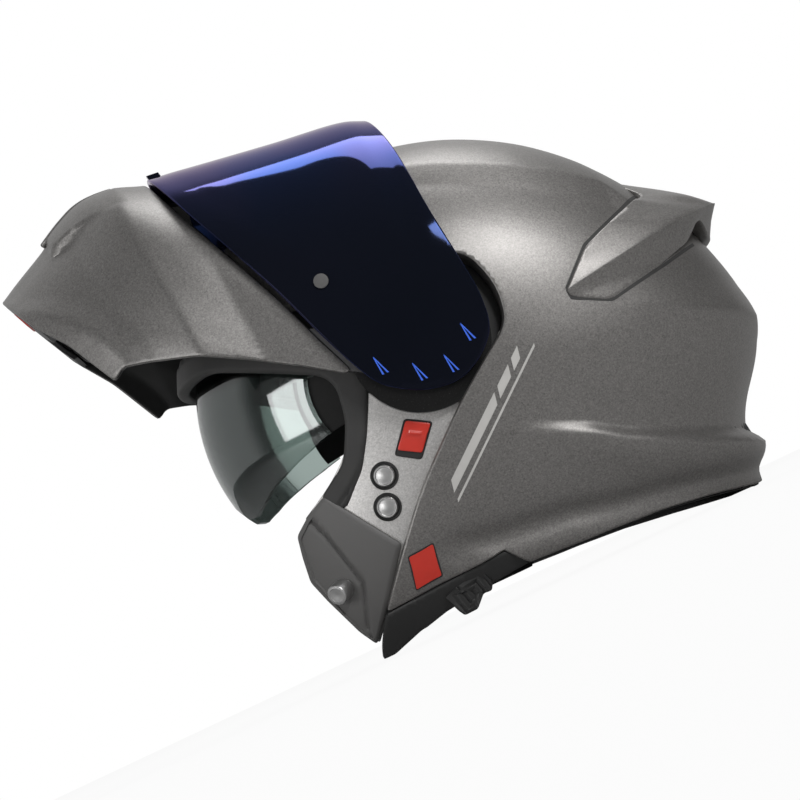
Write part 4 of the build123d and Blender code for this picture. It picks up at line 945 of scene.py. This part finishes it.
def fin_seam():
    """A dark strip along each fin's edge, laid just over the shell: a painted shadow standing in for
    the groove between the fin and the shell.
    """
    line = side(FIN_SHADOW_LINE_SHARES)
    reach = np.concatenate([[0], np.cumsum(np.linalg.norm(np.diff(line, axis=0), axis=1))])
    t = np.linspace(reach[0], reach[-1], 120)
    x, z = np.interp(t, reach, line[:, 0]), np.interp(t, reach, line[:, 1])
    way = np.stack([np.gradient(x), np.gradient(z)])
    way /= np.linalg.norm(way, axis=0)
    return laid_strip(np.stack([np.stack([x - way[1] * off, z + way[0] * off], -1)
                                for off in (-1.0, 0.0, 0.8)]), 0.15, -0.6)


# Chin bar
CHIN_CREASE = ((-190, 58.7), (-175, 56.7), (-161, 54.9), (-137, 52.6), (-124, 51), (-107, 48.6),
               (-91, 46.5), (-60, 42))
CHIN_LOWER_CREASE = ((-200, -32), (-182, -21.8), (-170, -9.5), (-154.7, 2.3), (-136.5, 9.9),
                     (-120, 13))


def chin_relief(base, normals):
    """Two folds, each a roof that falls off on both sides of its line, and a raised field
    round the vent."""
    x, y, z = base.T
    fold = above(x, z, CHIN_CREASE)
    low = above(x, z, CHIN_LOWER_CREASE)
    aside = smooth(abs(y), 22, 50)
    reach = np.interp(z, (18, 55), (57, 73))
    hood = smooth(reach - abs(y), -1.6, 1.6) * smooth(z, 13, 19) * (1 - smooth(z, 57, 64))
    folds = aside * (5.8 * roof(fold, 32, 28) - 2.2 + 3.0 * roof(low, 14, 16))
    return folds * (1 - hood) + 2.2 * hood


VENT_WINDOW_SHARES = ((-1.3, 0.115), (-0.98, 0.115), (-0.98, 0.165), (-1.3, 0.165))
VENT_WINDOW_HALF = 22.0
VENT_COVER_SHARES = ((-1.3, 0.05), (-1.00, 0.05), (-0.98, 0.25), (-1.3, 0.25))
VENT_COVER_HALF = 36.0
VENT_SLOT_SHARES = ((-1.3, 0.105), (-0.98, 0.105), (-0.98, 0.182), (-1.3, 0.182))
VENT_SLOT_HALF = 27.0
VENT_RIB_DEPTH = 0.35
VENT_RIB_PITCH = 2.6


def frame_field(shares, half):
    """A field: inside a band of the side view and within a half width."""
    outline = side(shares)
    return lambda p: np.minimum(depth_in(p[:, [0, 2]], outline), half - abs(p[:, 1]))


def chin_shell():
    """The painted bar with its window for the vent."""
    window = frame_field(VENT_WINDOW_SHARES, VENT_WINDOW_HALF)
    return lifted_skin(CHIN, [within(CHIN_CUT), lambda p: -window(p)], CHIN_WALL, chin_relief,
                       bulge=1.2, square=2.4, size=(200, 440))


def vent_cover():
    """A pillowed cover round the slot of the vent."""
    cover, slot = (frame_field(VENT_COVER_SHARES, VENT_COVER_HALF),
                   frame_field(VENT_SLOT_SHARES, VENT_SLOT_HALF))
    return lifted_skin(chin_body(-3.0), [cover, lambda p: -slot(p)], 2.9, bulge=1.2,
                       square=2.4, size=(330, 760))


def vent_shutter():
    """A ribbed slide in the vent's slot."""
    low, high = side(VENT_SLOT_SHARES)[1][1] + 8.5, side(VENT_SLOT_SHARES)[2][1] - 0.5
    outline = [(-300, low), (-190, low), (-190, high), (-300, high)]
    field = within(outline)

    def slide(p):
        """A field: within the slot's outline and its half width."""
        return np.minimum(field(p), VENT_SLOT_HALF - 0.5 - abs(p[:, 1]))

    def ribs(base, normals):
        """Low ribs across the slide."""
        return VENT_RIB_DEPTH * (np.cos(base[:, 2] * 2 * pi / VENT_RIB_PITCH) - 1)

    return lifted_skin(chin_body(-2.6), [slide], 1.9, ribs, bulge=0.5, size=(420, 900))


def chin_seal():
    """Rubber along the chin bar's upper edge, with a lip."""
    return lifted_skin(chin_body(CHIN_WALL + 0.2), [within(side(SEAL_SHARES))], 2.8, bulge=1.0,
                       square=2.0)


# Visor
TICK_LEANS = (-1.1, 1.5)
TICK_PLACES = ((-57.1, 135), (-40.7, 124), (-24.7, 121.2), (-10.4, 132))


def visor_shell():
    """The mirrored visor."""
    return lifted_skin(VISOR, [within(VISOR_CUT)], VISOR_WALL, bulge=0.9, square=2.2,
                       size=(150, 330))


def lowered(points):
    """Turn points of the raised chin bar back to where it is shut."""
    turn = radians(CHIN_TRAVEL)
    x, z = points[..., 0] - CHIN_HINGE[0], points[..., 1] - CHIN_HINGE[1]
    return np.stack([CHIN_HINGE[0] + x * cos(turn) - z * sin(turn),
                     CHIN_HINGE[1] + x * sin(turn) + z * cos(turn)], -1)


def on_visor(x, z, height):
    """Points above the raised visor's left side."""
    shut = lowered(np.stack([x, z], -1))
    return lifted(VISOR.on_left(shut[..., 0], shut[..., 1], height))


def visor_marks():
    """Four darts near the visor's pivot, each of two slivers that meet at the top."""
    made = []
    for x, z in TICK_PLACES:
        for lean in TICK_LEANS:
            outline = ((x + lean - 0.5, z - 5), (x + lean + 0.5, z - 5.2),
                       (x - 1.9, z + 5), (x - 2.3, z + 4.8))
            made.append(raised(denser(outline, 4), [(0.0, -0.2), (0.0, 0.12)], on_visor, 3))
    return joined(made)


# Rubber, rim and trims
BEAD_WIDTH = 11.0


def face_gasket():
    """A double bead of rubber round the face opening."""
    def beads(base, normals):
        """Two beads with a groove between them, by distance from the opening's edge."""
        away = -depth_in(base[:, [0, 2]], FACE_CUT) - BEAD_WIDTH
        return 2.0 - 1.4 * np.exp(-(away / 1.1) ** 2) - 1.0 * smooth(away, 0, 5)

    return skin(RECESS, [within(GASKET_ZONE), mouth_gap], 7.0, beads, bulge=2.2, square=2.2,
                steps=8, size=(200, 480))


TRIM_END = -31.0


def rim_band(keep, relief=None, proud=1.0, hem=HEM_CUT, bulge=1.2):
    """The moulding along the helmet's lower rim."""
    fields = [within(hem), outside(RIM_CUT), outside(RECESS_ZONE)] + keep
    return skin(shell_body(-proud), fields, 8.4 + proud, relief, bulge=bulge, square=2.6,
                size=(180, 560))


def front_trim(sign):
    """The trim ahead of its end, on the left for sign -1 and on the right for sign 1."""
    return rim_band([lambda p: sign * p[:, 1], lambda p: TRIM_END - p[:, 0]], trim_relief)


def tail_edging():
    """The thin edging behind the trims. Its bulge is small, as the band is about 1 mm high."""
    return rim_band([lambda p: p[:, 0] - TRIM_END], proud=-0.2, hem=LOW_HEM_CUT, bulge=0.4)


def trim_relief(base, normals):
    """The trim's front end is set back behind a small step."""
    return -0.8 * smooth(-93 - base[:, 0], -1.5, 1.5)


# Latch plates, studs, snaps and badges
LATCH_OUTLINE = ((-110.5, 89.2), (-97.8, 69.6), (-85.1, 50.5), (-102.0, 28.5), (-117.6, 10.5),
                 (-122.8, 19.5), (-131, 41), (-134.8, 53), (-133.2, 66), (-131.1, 77),
                 (-122.4, 83.3))
LATCH_GROOVE = ((-124, 88), (-117.4, 69.6), (-112.9, 51.1), (-110.9, 41.5), (-113.3, 33.9),
                (-118, 20))
LATCH_MIDDLE = (-112, 52)
LATCH_PROFILE = ((0.4, -0.6), (0.0, 0.0), (0.0, 1.7), (0.35, 2.1), (2.6, 3.0), (3.0, 3.05))


def distance_to_line(x, z, line):
    """Distance of side-view points from an open line."""
    line = np.asarray(line, float)
    point = np.stack([x, z], -1)[..., None, :]
    a, d = line[:-1], np.diff(line, axis=0)
    t = np.clip(((point - a) * d).sum(-1) / (d * d).sum(-1), 0, 1)
    return np.linalg.norm(point - a - t[..., None] * d, axis=-1).min(-1)


def latch_relief(x, z):
    """A step along a line, with a groove at its foot."""
    gap = distance_to_line(x, z, LATCH_GROOVE)
    along, up = np.array(LATCH_GROOVE[::-1], float).T
    front = x - np.interp(z, up, along)
    return -1.0 * smooth(-front, -0.8, 0.8) - 1.4 * np.exp(-(gap / 1.2) ** 2)


def latch_plate():
    """A bevelled plate on the lowered body."""
    outline = denser(rounded(LATCH_OUTLINE, 2.0, 5), 4)
    order = np.argsort(np.arctan2(*(outline - LATCH_MIDDLE).T[::-1]))
    return raised(outline[order], LATCH_PROFILE, RECESS.on_left, 34, latch_relief)


STUD_BASE = (-120.5, -92.0, 43.0)
STUD_LEAN = (-0.55, -0.80, -0.22)
STUD_PROFILE = ((0, -3), (4.8, -3), (4.8, 1.6), (5.4, 2.0),
                (5.5, 2.6), (5.5, 9.5), (5.1, 10.2), (4.0, 10.4), (3.7, 10.1), (2.0, 10.0),
                (1.0, 9.8), (0, 9.8))


SNAP_PLACES = ((-78.7, 85.1), (-83.9, 70.2))
SNAP_DOME = ((0, -0.6), (5.3, -0.6), (5.5, 0.9), (5.4, 1.8), (5.0, 2.3), (4.5, 2.3), (4.2, 1.9),
             (3.6, 1.9), (2.4, 2.3), (1.2, 2.5), (0, 2.55))
SNAP_SEAT = ((0, -0.8), (7.2, -0.8), (7.3, 0.25), (7.0, 0.6), (6.7, 0.5), (6.2, 0.15), (5.2, 0.0),
             (0, 0.0))


def press_studs(profile):
    """Round parts at the places of the two press studs."""
    made = []
    for x, z in np.array(SNAP_PLACES):
        foot, tip = (RECESS.on_left(x, z, height) for height in (0.0, 1.0))
        made.append(turned(profile, foot, tip - foot, 56))
    return joined(made)


BADGE_OUTLINE = ((-70.8, 43.9), (-73.3, 26.9), (-88.8, 25.8), (-85.5, 43.1))


def badge(inset, height):
    """A thin lozenge on the shell."""
    outline = denser(rounded(BADGE_OUTLINE, 1.0, 4), 5)
    return raised(outline, [(inset, -0.3), (inset, height - 0.15), (inset + 0.15, height)],
                  shell_side, 8)


STRIPE_ENDS = ((-55.0, 62.5), (13.0, 117.0))
STRIPE_BARS = ((-6.5, 0.55, 0.0, 1.0), (-1.0, 2.1, 0.06, 0.62), (-1.0, 2.1, 0.66, 0.80),
               (-1.0, 2.1, 0.84, 0.92))


def stripe():
    """A slim broken stripe beside the ridge, a generic line in the print's place. Each bar
    has an offset, a half width and the shares of the length where it starts and ends."""
    start, end = np.array(STRIPE_ENDS)
    along = (end - start) / np.linalg.norm(end - start)
    aside = np.array((-along[1], along[0]))
    length = np.linalg.norm(end - start)
    made = []
    for offset, half, low, high in STRIPE_BARS:
        t = np.linspace(low, high, 40)[:, None] * length
        upper = start + along * (t + half * 1.2) + aside * (offset + half)
        lower = start + along * (t - half * 1.2) + aside * (offset - half)
        rows = np.stack([lower, lower * 0.5 + upper * 0.5, upper])
        made.append(laid_strip(rows, 0.12, -0.3))
    return joined(made)


# Lock switch
LOCK_OUTLINE = ((-57.3, 105.6), (-46.3, 99.0), (-56.6, 87.4), (-67.2, 93.9))
LOCK_RIB = ((-60.5, 100.6), (-50.8, 94.6))
LOCK_WELL_OUTLINE = ((-57.6, 107.0), (-44.9, 99.4), (-58.2, 84.2), (-70.0, 92.0))
LOCK_WELL_PROFILE = ((0.0, -0.5), (0.0, 0.35), (0.25, 0.5), (0.7, 0.5), (0.95, 0.12))


def lock_switch():
    """A two-step rocker with a raised rib between its halves."""
    outline = denser(rounded(LOCK_OUTLINE, 1.2, 4), 5)

    def relief(x, z):
        """The rib and the lower half's slope."""
        gap = distance_to_line(x, z, LOCK_RIB)
        return 0.7 * np.exp(-(gap / 1.1) ** 2) - 0.25 * (1 - np.exp(-(gap / 4) ** 2))

    return raised(outline, [(0.3, -0.6), (0.1, -0.4), (0.0, 0.7), (0.5, 1.2)],
                  RECESS.on_left, 14, relief)


def lock_frame():
    """The dark well round the switch."""
    return raised(rounded(LOCK_WELL_OUTLINE, 2.0, 6), LOCK_WELL_PROFILE, RECESS.on_left, 8)


SLIDER_OUTLINE = ((-77.0, 16.6), (-70, 19.2), (-55.2, 21.4), (-53.6, 19.6), (-51.9, 13.4),
                  (-54.0, 9.8), (-58.5, 10.2), (-64.4, 4.4), (-71.5, 4.2), (-73.4, 7.6))


def ribbed_slider():
    """The sun visor's slider, with slanted ribs for the thumb."""
    outline = rounded(SLIDER_OUTLINE, 1.2, 5)

    def ribs(x, z):
        """Ribs across the thumb's way."""
        ridge = 1.0 - abs(((x + 0.25 * z) / 4.6) % 1.0 - 0.35) / 0.5
        return 1.6 * np.clip(ridge, 0, 1) * smooth(x, -76, -70)

    return raised(outline, [(0, -9), (0, 0.4), (0.5, 0.9)],
                  flat_map((0, -106.6, 0), (1, 0, 0), (0, 0, 1), (0, -1, 0)), 20, ribs)


PAD_OUTLINE = ((-192.4, -12.4), (-180.6, -12.4), (-180.6, 12.4), (-192.4, 12.4))
PAD_PROFILE = ((0, 4.5), (0, 8.4), (0.9, 9.2), (1.8, 9.5))


def release_pad():
    """A low pad under the chin that opens the bar."""
    def under_chin(a, b, h):
        """Heights run down from inside the chin, and the lower face follows its floor."""
        return lifted(np.stack([a, b, -11.6 - h + 0.022 * h * (a + 186.5)], -1))

    return raised(rounded(PAD_OUTLINE, 2.5, 8), PAD_PROFILE, under_chin, 6)


# Cushions, lining and foam
CLOTH_PRESSURE = 4.0
CLOTH_FRAMES = 20


def cushion(name, node, body, seams, shrink=2.2, cap=4.0, voxel=4.5):
    """A padded piece: the part's own solid drawn in a little, then blown up as cloth, each
    point moving no further than the cap, and sewn in by its seams."""
    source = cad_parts[node]
    piece = source.copy()
    piece.data = source.data.copy()
    piece.name = piece.data.name = name
    bpy.context.scene.collection.objects.link(piece)
    work = bmesh.new()
    work.from_mesh(piece.data)
    bmesh.ops.remove_doubles(work, verts=work.verts, dist=0.02 * MM)
    work.normal_update()
    for vertex in work.verts:
        vertex.co -= vertex.normal * shrink * MM
    work.to_mesh(piece.data)
    work.free()
    bpy.context.view_layer.objects.active = piece
    piece.data.remesh_voxel_size = voxel * MM
    bpy.ops.object.voxel_remesh()
    count = len(piece.data.vertices)
    start, moved, normals = (np.empty(count * 3) for _ in range(3))
    piece.data.vertices.foreach_get("co", start)
    cloth = piece.modifiers.new("cloth", "CLOTH")
    cloth.settings.use_pressure = True
    cloth.settings.uniform_pressure_force = CLOTH_PRESSURE
    cloth.settings.effector_weights.gravity = 0.0
    cloth.point_cache.frame_end = CLOTH_FRAMES
    for frame_number in range(1, CLOTH_FRAMES + 1):
        bpy.context.scene.frame_set(frame_number)
    shaped = piece.evaluated_get(bpy.context.evaluated_depsgraph_get())
    shaped.data.vertices.foreach_get("co", moved)
    piece.modifiers.remove(cloth)
    bpy.context.scene.frame_set(1)
    start, moved = start.reshape(-1, 3), moved.reshape(-1, 3)
    way = moved - start
    reach = np.linalg.norm(way, axis=1, keepdims=True)
    shape = start + way * np.minimum(1, cap * MM / np.maximum(reach, 1e-9))
    piece.data.vertices.foreach_get("normal", normals)
    shape -= normals.reshape(-1, 3) * (seams(shape / MM) * MM)[:, None]
    piece.data.vertices.foreach_set("co", shape.ravel())
    piece.data.update()
    piece.data.shade_smooth()
    piece.data.materials.clear()
    piece.data.materials.append(LINING)
    finer = piece.modifiers.new("finer", "SUBSURF")
    finer.levels = finer.render_levels = 1
    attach(piece, body)
    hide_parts(node)


CROWN_SEAM_ASIDE = 27.0
CROWN_SEAM_ACROSS = -10.0
CHEEK_SLANT = 0.35
CHEEK_SEAM_PLACES = (-38.0, -4.0)
NECK_SEAM_RADIUS = 70.0
NECK_SEAM_PITCH = 34.0
CHIN_SEAMS_ASIDE = (30.0, 62.0)
CURTAIN_FRONT_DRAW = 13.0
CURTAIN_ZONE = ((-106, 6), (-98, 29), (110, 29), (110, -20), (-106, -20))
CURTAIN_CLEARANCE = 3.0
HEAD_MIDDLE = -10.0


def groove(distance, depth=2.2, width=3.0):
    """The draw of a seam, by the distance from it."""
    return depth * np.exp(-(distance / width) ** 2)


def crown_seams(p):
    """Two seams along the crown and one across it."""
    return groove(abs(p[:, 1]) - CROWN_SEAM_ASIDE) + groove(p[:, 0] - CROWN_SEAM_ACROSS)


def cheek_seams(p):
    """Two slanted seams down the cheek."""
    slant = p[:, 0] + CHEEK_SLANT * p[:, 2]
    return sum(groove(slant - place) for place in CHEEK_SEAM_PLACES)


def neck_seams(p):
    """Seams that fan out round the neck."""
    turn = np.arctan2(p[:, 1], p[:, 0] - HEAD_MIDDLE) * NECK_SEAM_RADIUS
    half = NECK_SEAM_PITCH / 2
    return groove((turn + half) % NECK_SEAM_PITCH - half, 1.8)


def chin_seams(p):
    """Seams across the chin bar's lining."""
    return sum(groove(abs(p[:, 1]) - aside, 1.4, 2.2) for aside in CHIN_SEAMS_ASIDE)


def curtain_drop(base, normals):
    """The curtain keeps inside the lowered body at the front, and has shallow folds."""
    folds = 0.7 * np.cos(np.arctan2(base[:, 1], base[:, 0] - HEAD_MIDDLE) * 60)
    return -CURTAIN_FRONT_DRAW * (1 - smooth(base[:, 0], -70, -25)) + folds


def neck_curtain():
    """The soft skirt under the lining: a thick band from near the rim to the head's room."""
    lifted_rim = side(RIM_SHARES) + (0, CURTAIN_CLEARANCE)
    low = np.concatenate([lifted_rim, [(200, -150), (-280, -150)]])

    def wall(base, normals):
        """From the band's outside to the head's room."""
        return np.clip(room_over(CAVITY, base) + curtain_drop(base, normals) - 1.5, 4.0, 40.0)

    return skin(shell_body(9.8), [within(CURTAIN_ZONE), outside(low)], wall, curtain_drop, bulge=3.0,
                square=2.2, steps=8, size=(150, 360))


def foam_liner():
    """The part's own liner, its outward faces drawn in where the shell is drawn in over its
    ledge. The sun visor's pocket keeps its place."""
    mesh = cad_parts["impact_liner"].data
    mesh.calc_loop_triangles()
    points = np.empty(len(mesh.vertices) * 3)
    faces = np.empty(len(mesh.loop_triangles) * 3, np.int32)
    mesh.vertices.foreach_get("co", points)
    mesh.loop_triangles.foreach_get("vertices", faces)
    points, faces = points.reshape(-1, 3) / MM, faces.reshape(-1, 3)
    outer = 1 - smooth(-room_over(SHELL, points), 6.0, 9.0)
    ray = points - (CENTRE[0], 0, CENTRE[1])
    ray /= np.linalg.norm(ray, axis=1, keepdims=True)
    a, b, c = (points[faces[:, k]] for k in range(3))
    way = np.zeros_like(points)
    for k in range(3):
        np.add.at(way, faces[:, k], np.cross(b - a, c - a))
    outward = (way * ray).sum(1) > 0.2 * np.linalg.norm(way, axis=1)
    push = outer * outward * smooth(points[:, 0], 20, 50) * (
        ledge_hollow(points[:, 0], points[:, 2]) + 0.6)
    return points - ray * push[:, None], faces


# Chin strap
STRAP_LINE = ((-68.0, 21.6), (-60.0, 17.0), (-50.0, 14.6), (-37.0, 13.6), (-12.0, 13.4))
STRAP_MIDDLE = -36.0
STRAP_HALF_WIDTH = 10.8
STRAP_HALF_THICKNESS = 0.85
BUCKLE_OUTLINE = ((-48.3, -16.8), (-23.7, -16.8), (-23.7, 16.8), (-48.3, 16.8))
BUCKLE_PROFILE = ((1.0, 12.4), (0.2, 12.8), (0, 13.6), (0, 17.2), (0.4, 17.9), (1.2, 18.2))


def strap():
    """Flat webbing from the shell to the buckle, its edges rounded."""
    across, up = np.array(STRAP_LINE, float).T
    y = np.linspace(across[0], across[-1], 60)
    z = np.interp(y, across, up)
    z = np.convolve(np.pad(z, 4, mode="edge"), np.ones(9) / 9, mode="valid")
    turn = np.linspace(0, 2 * pi, 28, endpoint=False)[:, None]
    wide = STRAP_MIDDLE + STRAP_HALF_WIDTH * np.sign(np.cos(turn)) * abs(np.cos(turn)) ** 0.25
    thick = STRAP_HALF_THICKNESS * np.sign(np.sin(turn)) * abs(np.sin(turn)) ** 0.6
    ring = np.stack([wide + 0 * y, y + 0 * wide, z + thick + 0 * wide], -1)
    ends = [np.broadcast_to(ring[:, k].mean(0), (28, 3)) for k in (0, -1)]
    shape = np.concatenate([ends[0][:, None], ring, ends[1][:, None]], 1).transpose(1, 0, 2)
    return facing_out(shape.reshape(-1, 3), body_faces(62, 28))


def buckle_frame():
    """A low frame across the strap with a sunk middle under the lever."""
    def sunk(a, b):
        """A shallow well inside the rim."""
        return -1.6 * smooth(9.6 - abs(a - STRAP_MIDDLE), 0, 1.2) * smooth(13.8 - abs(b), 0, 1.2)

    return raised(rounded(BUCKLE_OUTLINE, 4.0, 8), BUCKLE_PROFILE,
                  flat_map((0, 0, 0), (1, 0, 0), (0, 1, 0), (0, 0, 1)), 14, sunk)


# Pieces on their bodies
def placed(name, made, finish, slot, body, *nodes, **more):
    """Make a piece, let it ride on its body and stand for its nodes."""
    piece = mesh_piece(name, *made, finish, slot, **more)
    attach(piece, body)
    if nodes:
        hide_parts(*nodes)
    return piece


def both_sides(name, made, finish, slot, body, *nodes, **more):
    """The piece on the left and its mirror image on the right."""
    points, faces = made
    placed(name + "_left_face", (points, faces), finish, slot, body,
           *[node + "_left" for node in nodes], **more)
    placed(name + "_right_face", (mirrored(points), faces[:, ::-1]), finish, slot, body,
           *[node + "_right" for node in nodes], **more)


placed("painted_shell", outer_shell(), PAINT, "shell_paint", "shell", "outer_shell",
       lining=BLACK_PLASTIC)
# Dark rubber strips along the fins' seams: a painted shadow of the groove round each fin.
both_sides("fin_seam", fin_seam(), RUBBER, "rubber", "shell")
placed("spoiler_cap", spoiler_cap(), PAINT, "shell_paint", "shell", "rear_spoiler")
placed("painted_chin_bar", chin_shell(), CHIN_PAINT, "chin_paint", "chin_bar", "chin_shell",
       lining=BLACK_PLASTIC)
# The darts' blue is a painted reflection of the film's glint.
placed("visor_marks", visor_marks(), BLUE_GLINT_MARK, "black_plastic", "visor")
placed("vent_hood", vent_cover(), CHIN_PAINT, "chin_paint", "chin_bar", "vent_cover")
placed("vent_slide", vent_shutter(), GLOSS_PLASTIC, "black_plastic", "shutter", "vent_shutter")
placed("chin_lip", chin_seal(), RUBBER, "rubber", "chin_bar", "sill_seal")
placed("mirror_visor", visor_shell(), FILM, "visor_mirror", "visor", "visor_shield")
placed("face_rubber", face_gasket(), RUBBER, "rubber", "shell", "eyeport_gasket")
for hand, sign in (("left", -1), ("right", 1)):
    placed(hand + "_rim_trim", front_trim(sign), BLACK_PLASTIC, "black_plastic", "shell",
           "rim_trim_" + hand)
placed("tail_edging", tail_edging(), RUBBER, "rubber", "shell", "rim_edging")
placed("foam_liner", foam_liner(), FOAM, "eps", "shell", "impact_liner", sharp=30.0)
placed("neck_curtain", neck_curtain(), LINING, "fabric", "shell", "lining_skirt")
both_sides("strap", strap(), WEBBING, "webbing", "shell", "chin_strap")
placed("buckle_frame", buckle_frame(), BLACK_PLASTIC, "black_plastic", "shell", "strap_buckle")
both_sides("latch", latch_plate(), LATCH_PLASTIC, "latch_plastic", "shell", "latch_plate")
both_sides("stud", turned(STUD_PROFILE, STUD_BASE, STUD_LEAN), STEEL, "steel", "shell",
           "latch_stud")
both_sides("press_studs", press_studs(SNAP_DOME), STEEL, "steel", "shell", "snaps")
both_sides("stud_seats", press_studs(SNAP_SEAT), BLACK_PLASTIC, "black_plastic", "shell")
both_sides("badge_edge", badge(0.0, 0.5), BLACK_PLASTIC, "black_plastic", "shell")
both_sides("badge_face", badge(0.8, 0.8), RED, "red_plastic", "shell", "badge")
both_sides("pale_stripe", stripe(), STRIPE, "black_plastic", "shell")
# The panels' pale paint carries painted light from the front as well as their own tone.
placed("side_panels", lowered_body(1), PANEL_PAINT_AND_LIGHT, "shell_paint", "shell",
       lining=BLACK_PLASTIC)
placed("hinge_bay", lowered_body(-1), BLACK_PLASTIC, "black_plastic", "shell")
placed("ribbed_slider", ribbed_slider(), BLACK_PLASTIC, "black_plastic", "sun_knob", "sun_slider")
placed("release_pad", release_pad(), RED, "red_plastic", "button", "release_button")
placed("rocker", lock_switch(), RED, "red_plastic", "lock", "lock_switch")
placed("rocker_well", lock_frame(), BLACK_PLASTIC, "black_plastic", "shell")

# Cushions and what stays of the part's own nodes
cushion("crown_cushion", "crown_pad", "shell", crown_seams)
cushion("left_cheek_cushion", "cheek_pad_left", "shell", cheek_seams)
cushion("right_cheek_cushion", "cheek_pad_right", "shell", cheek_seams)
cushion("neck_cushion", "neck_roll", "shell", neck_seams, shrink=1.5, cap=3.0, voxel=4.0)
cushion("chin_cushion", "chin_liner", "chin_bar", chin_seams, shrink=1.5, cap=2.5, voxel=4.0)

NODE_FINISHES = (
    (BLACK_PLASTIC, ("chin_floor", "breath_guard", "sun_arm_left", "sun_arm_right")),
    (GLOSS_PLASTIC, ("base_plate_left", "base_plate_right", "visor_hub_left",
                     "visor_hub_right")),
    (STEEL, ("hinge_pins", "latch_jaw_left", "latch_jaw_right", "jaw_pins", "sun_pins",
             "visor_pins")),
    (DARK_METAL, ("chin_arm_left", "chin_arm_right", "fog_pins")),
    (FILM, ("visor_tab",)), (LENS, ("sun_visor",)), (RED, ("buckle_lever",)))
for finish, nodes in NODE_FINISHES:
    for node in nodes:
        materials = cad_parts[node].data.materials
        materials.clear()
        materials.append(finish)

# Camera, rolled as the helmet lies in the photograph
PHOTO_SIZE = 800
MM_PER_PIXEL = 0.556
ROLL = radians(25.08)
RISE = radians(5.92)
CAMERA_AIM = (-50.5, 0.0, 126.8)
CAMERA_DISTANCE = 1250.0
SENSOR = 36.0

right = np.array((cos(ROLL), 0, -sin(ROLL)))
rolled_up = np.array((sin(ROLL), 0, cos(ROLL)))
view_way = cos(RISE) * np.array((0, 1.0, 0)) + sin(RISE) * rolled_up
camera_up = cos(RISE) * rolled_up - sin(RISE) * np.array((0, 1.0, 0))
eye = np.array(CAMERA_AIM) - CAMERA_DISTANCE * view_way
camera_data = bpy.data.cameras.new("camera")
camera_data.sensor_width = SENSOR
camera_data.lens = CAMERA_DISTANCE / MM_PER_PIXEL * SENSOR / PHOTO_SIZE
camera_data.clip_start, camera_data.clip_end = 0.05, 50.0
camera = bpy.data.objects.new("camera", camera_data)
camera.matrix_world = Matrix([[right[k], camera_up[k], -view_way[k], eye[k] * MM]
                              for k in range(3)] + [[0, 0, 0, 1]])
bpy.context.scene.collection.objects.link(camera)
bpy.context.scene.camera = camera
bpy.context.scene.view_settings.view_transform = "Standard"


# Floor, world and lamps
FLOOR_SIZE = 12.0
FLOOR_DROP = 0.0004
FLOOR_WHITENESS = 0.94
WORLD_LEVELS = (0.15, 0.62)
LAMPS = (("key_left", (-1.3, -1.4, 0.45), (-0.02, 0, 0.14), (0.9, 0.7), 10.0),
         ("side_soft", (0.95, -1.5, 1.25), (0.02, 0, 0.17), (0.6, 0.3), 25.0),
         ("top_soft", (0.6, 0.3, 1.7), (0.02, 0, 0.15), (1.0, 0.8), 15.0))


def studio_floor():
    """A pale floor that stays white to the camera and keeps the shadow."""
    bpy.ops.mesh.primitive_plane_add(size=FLOOR_SIZE, location=(0, 0, -FLOOR_DROP))
    floor = bpy.context.object
    floor.name = "studio_floor"
    made = Finish("pale_floor")
    light = made.node("LightPath")
    made.surface(Base_Color=grey(0.42), Roughness=0.9, Specular_IOR_Level=0.1)
    glow = made.tree.nodes.new("ShaderNodeEmission")
    made.put(glow.inputs["Color"], grey(1.0))
    glow.inputs["Strength"].default_value = 1.0
    floor.data.materials.append(made.mixed(light * FLOOR_WHITENESS, made.shader, glow))


def studio_world():
    """White behind and above the helmet, dim in front of it; the camera sees white."""
    world = bpy.data.worlds.new("studio")
    bpy.context.scene.world = world
    world.use_nodes = True
    made = Nodes(world.node_tree)
    direction = made.node("TexCoord")
    x, y = (made.node("SeparateXYZ", {}, direction, output=k) for k in (0, 1))
    light = (x * -0.55 + y).above(0.15, 0.5, *WORLD_LEVELS)
    background = made.tree.nodes["Background"]
    made.put(background.inputs["Strength"], light.math("MAXIMUM", made.node("LightPath")))
    made.put(background.inputs["Color"], grey(1.0))


def lamp(name, place, target, size, power):
    """A soft area lamp aimed at a point."""
    data = bpy.data.lights.new(name, "AREA")
    data.shape, data.size, data.size_y = "RECTANGLE", size[0], size[1]
    data.energy = power
    made = bpy.data.objects.new(name, data)
    made.location = place
    made.rotation_euler = (Vector(target) - Vector(place)).to_track_quat("-Z", "Y").to_euler()
    bpy.context.scene.collection.objects.link(made)


studio_floor()
studio_world()
for each in LAMPS:
    lamp(*each)
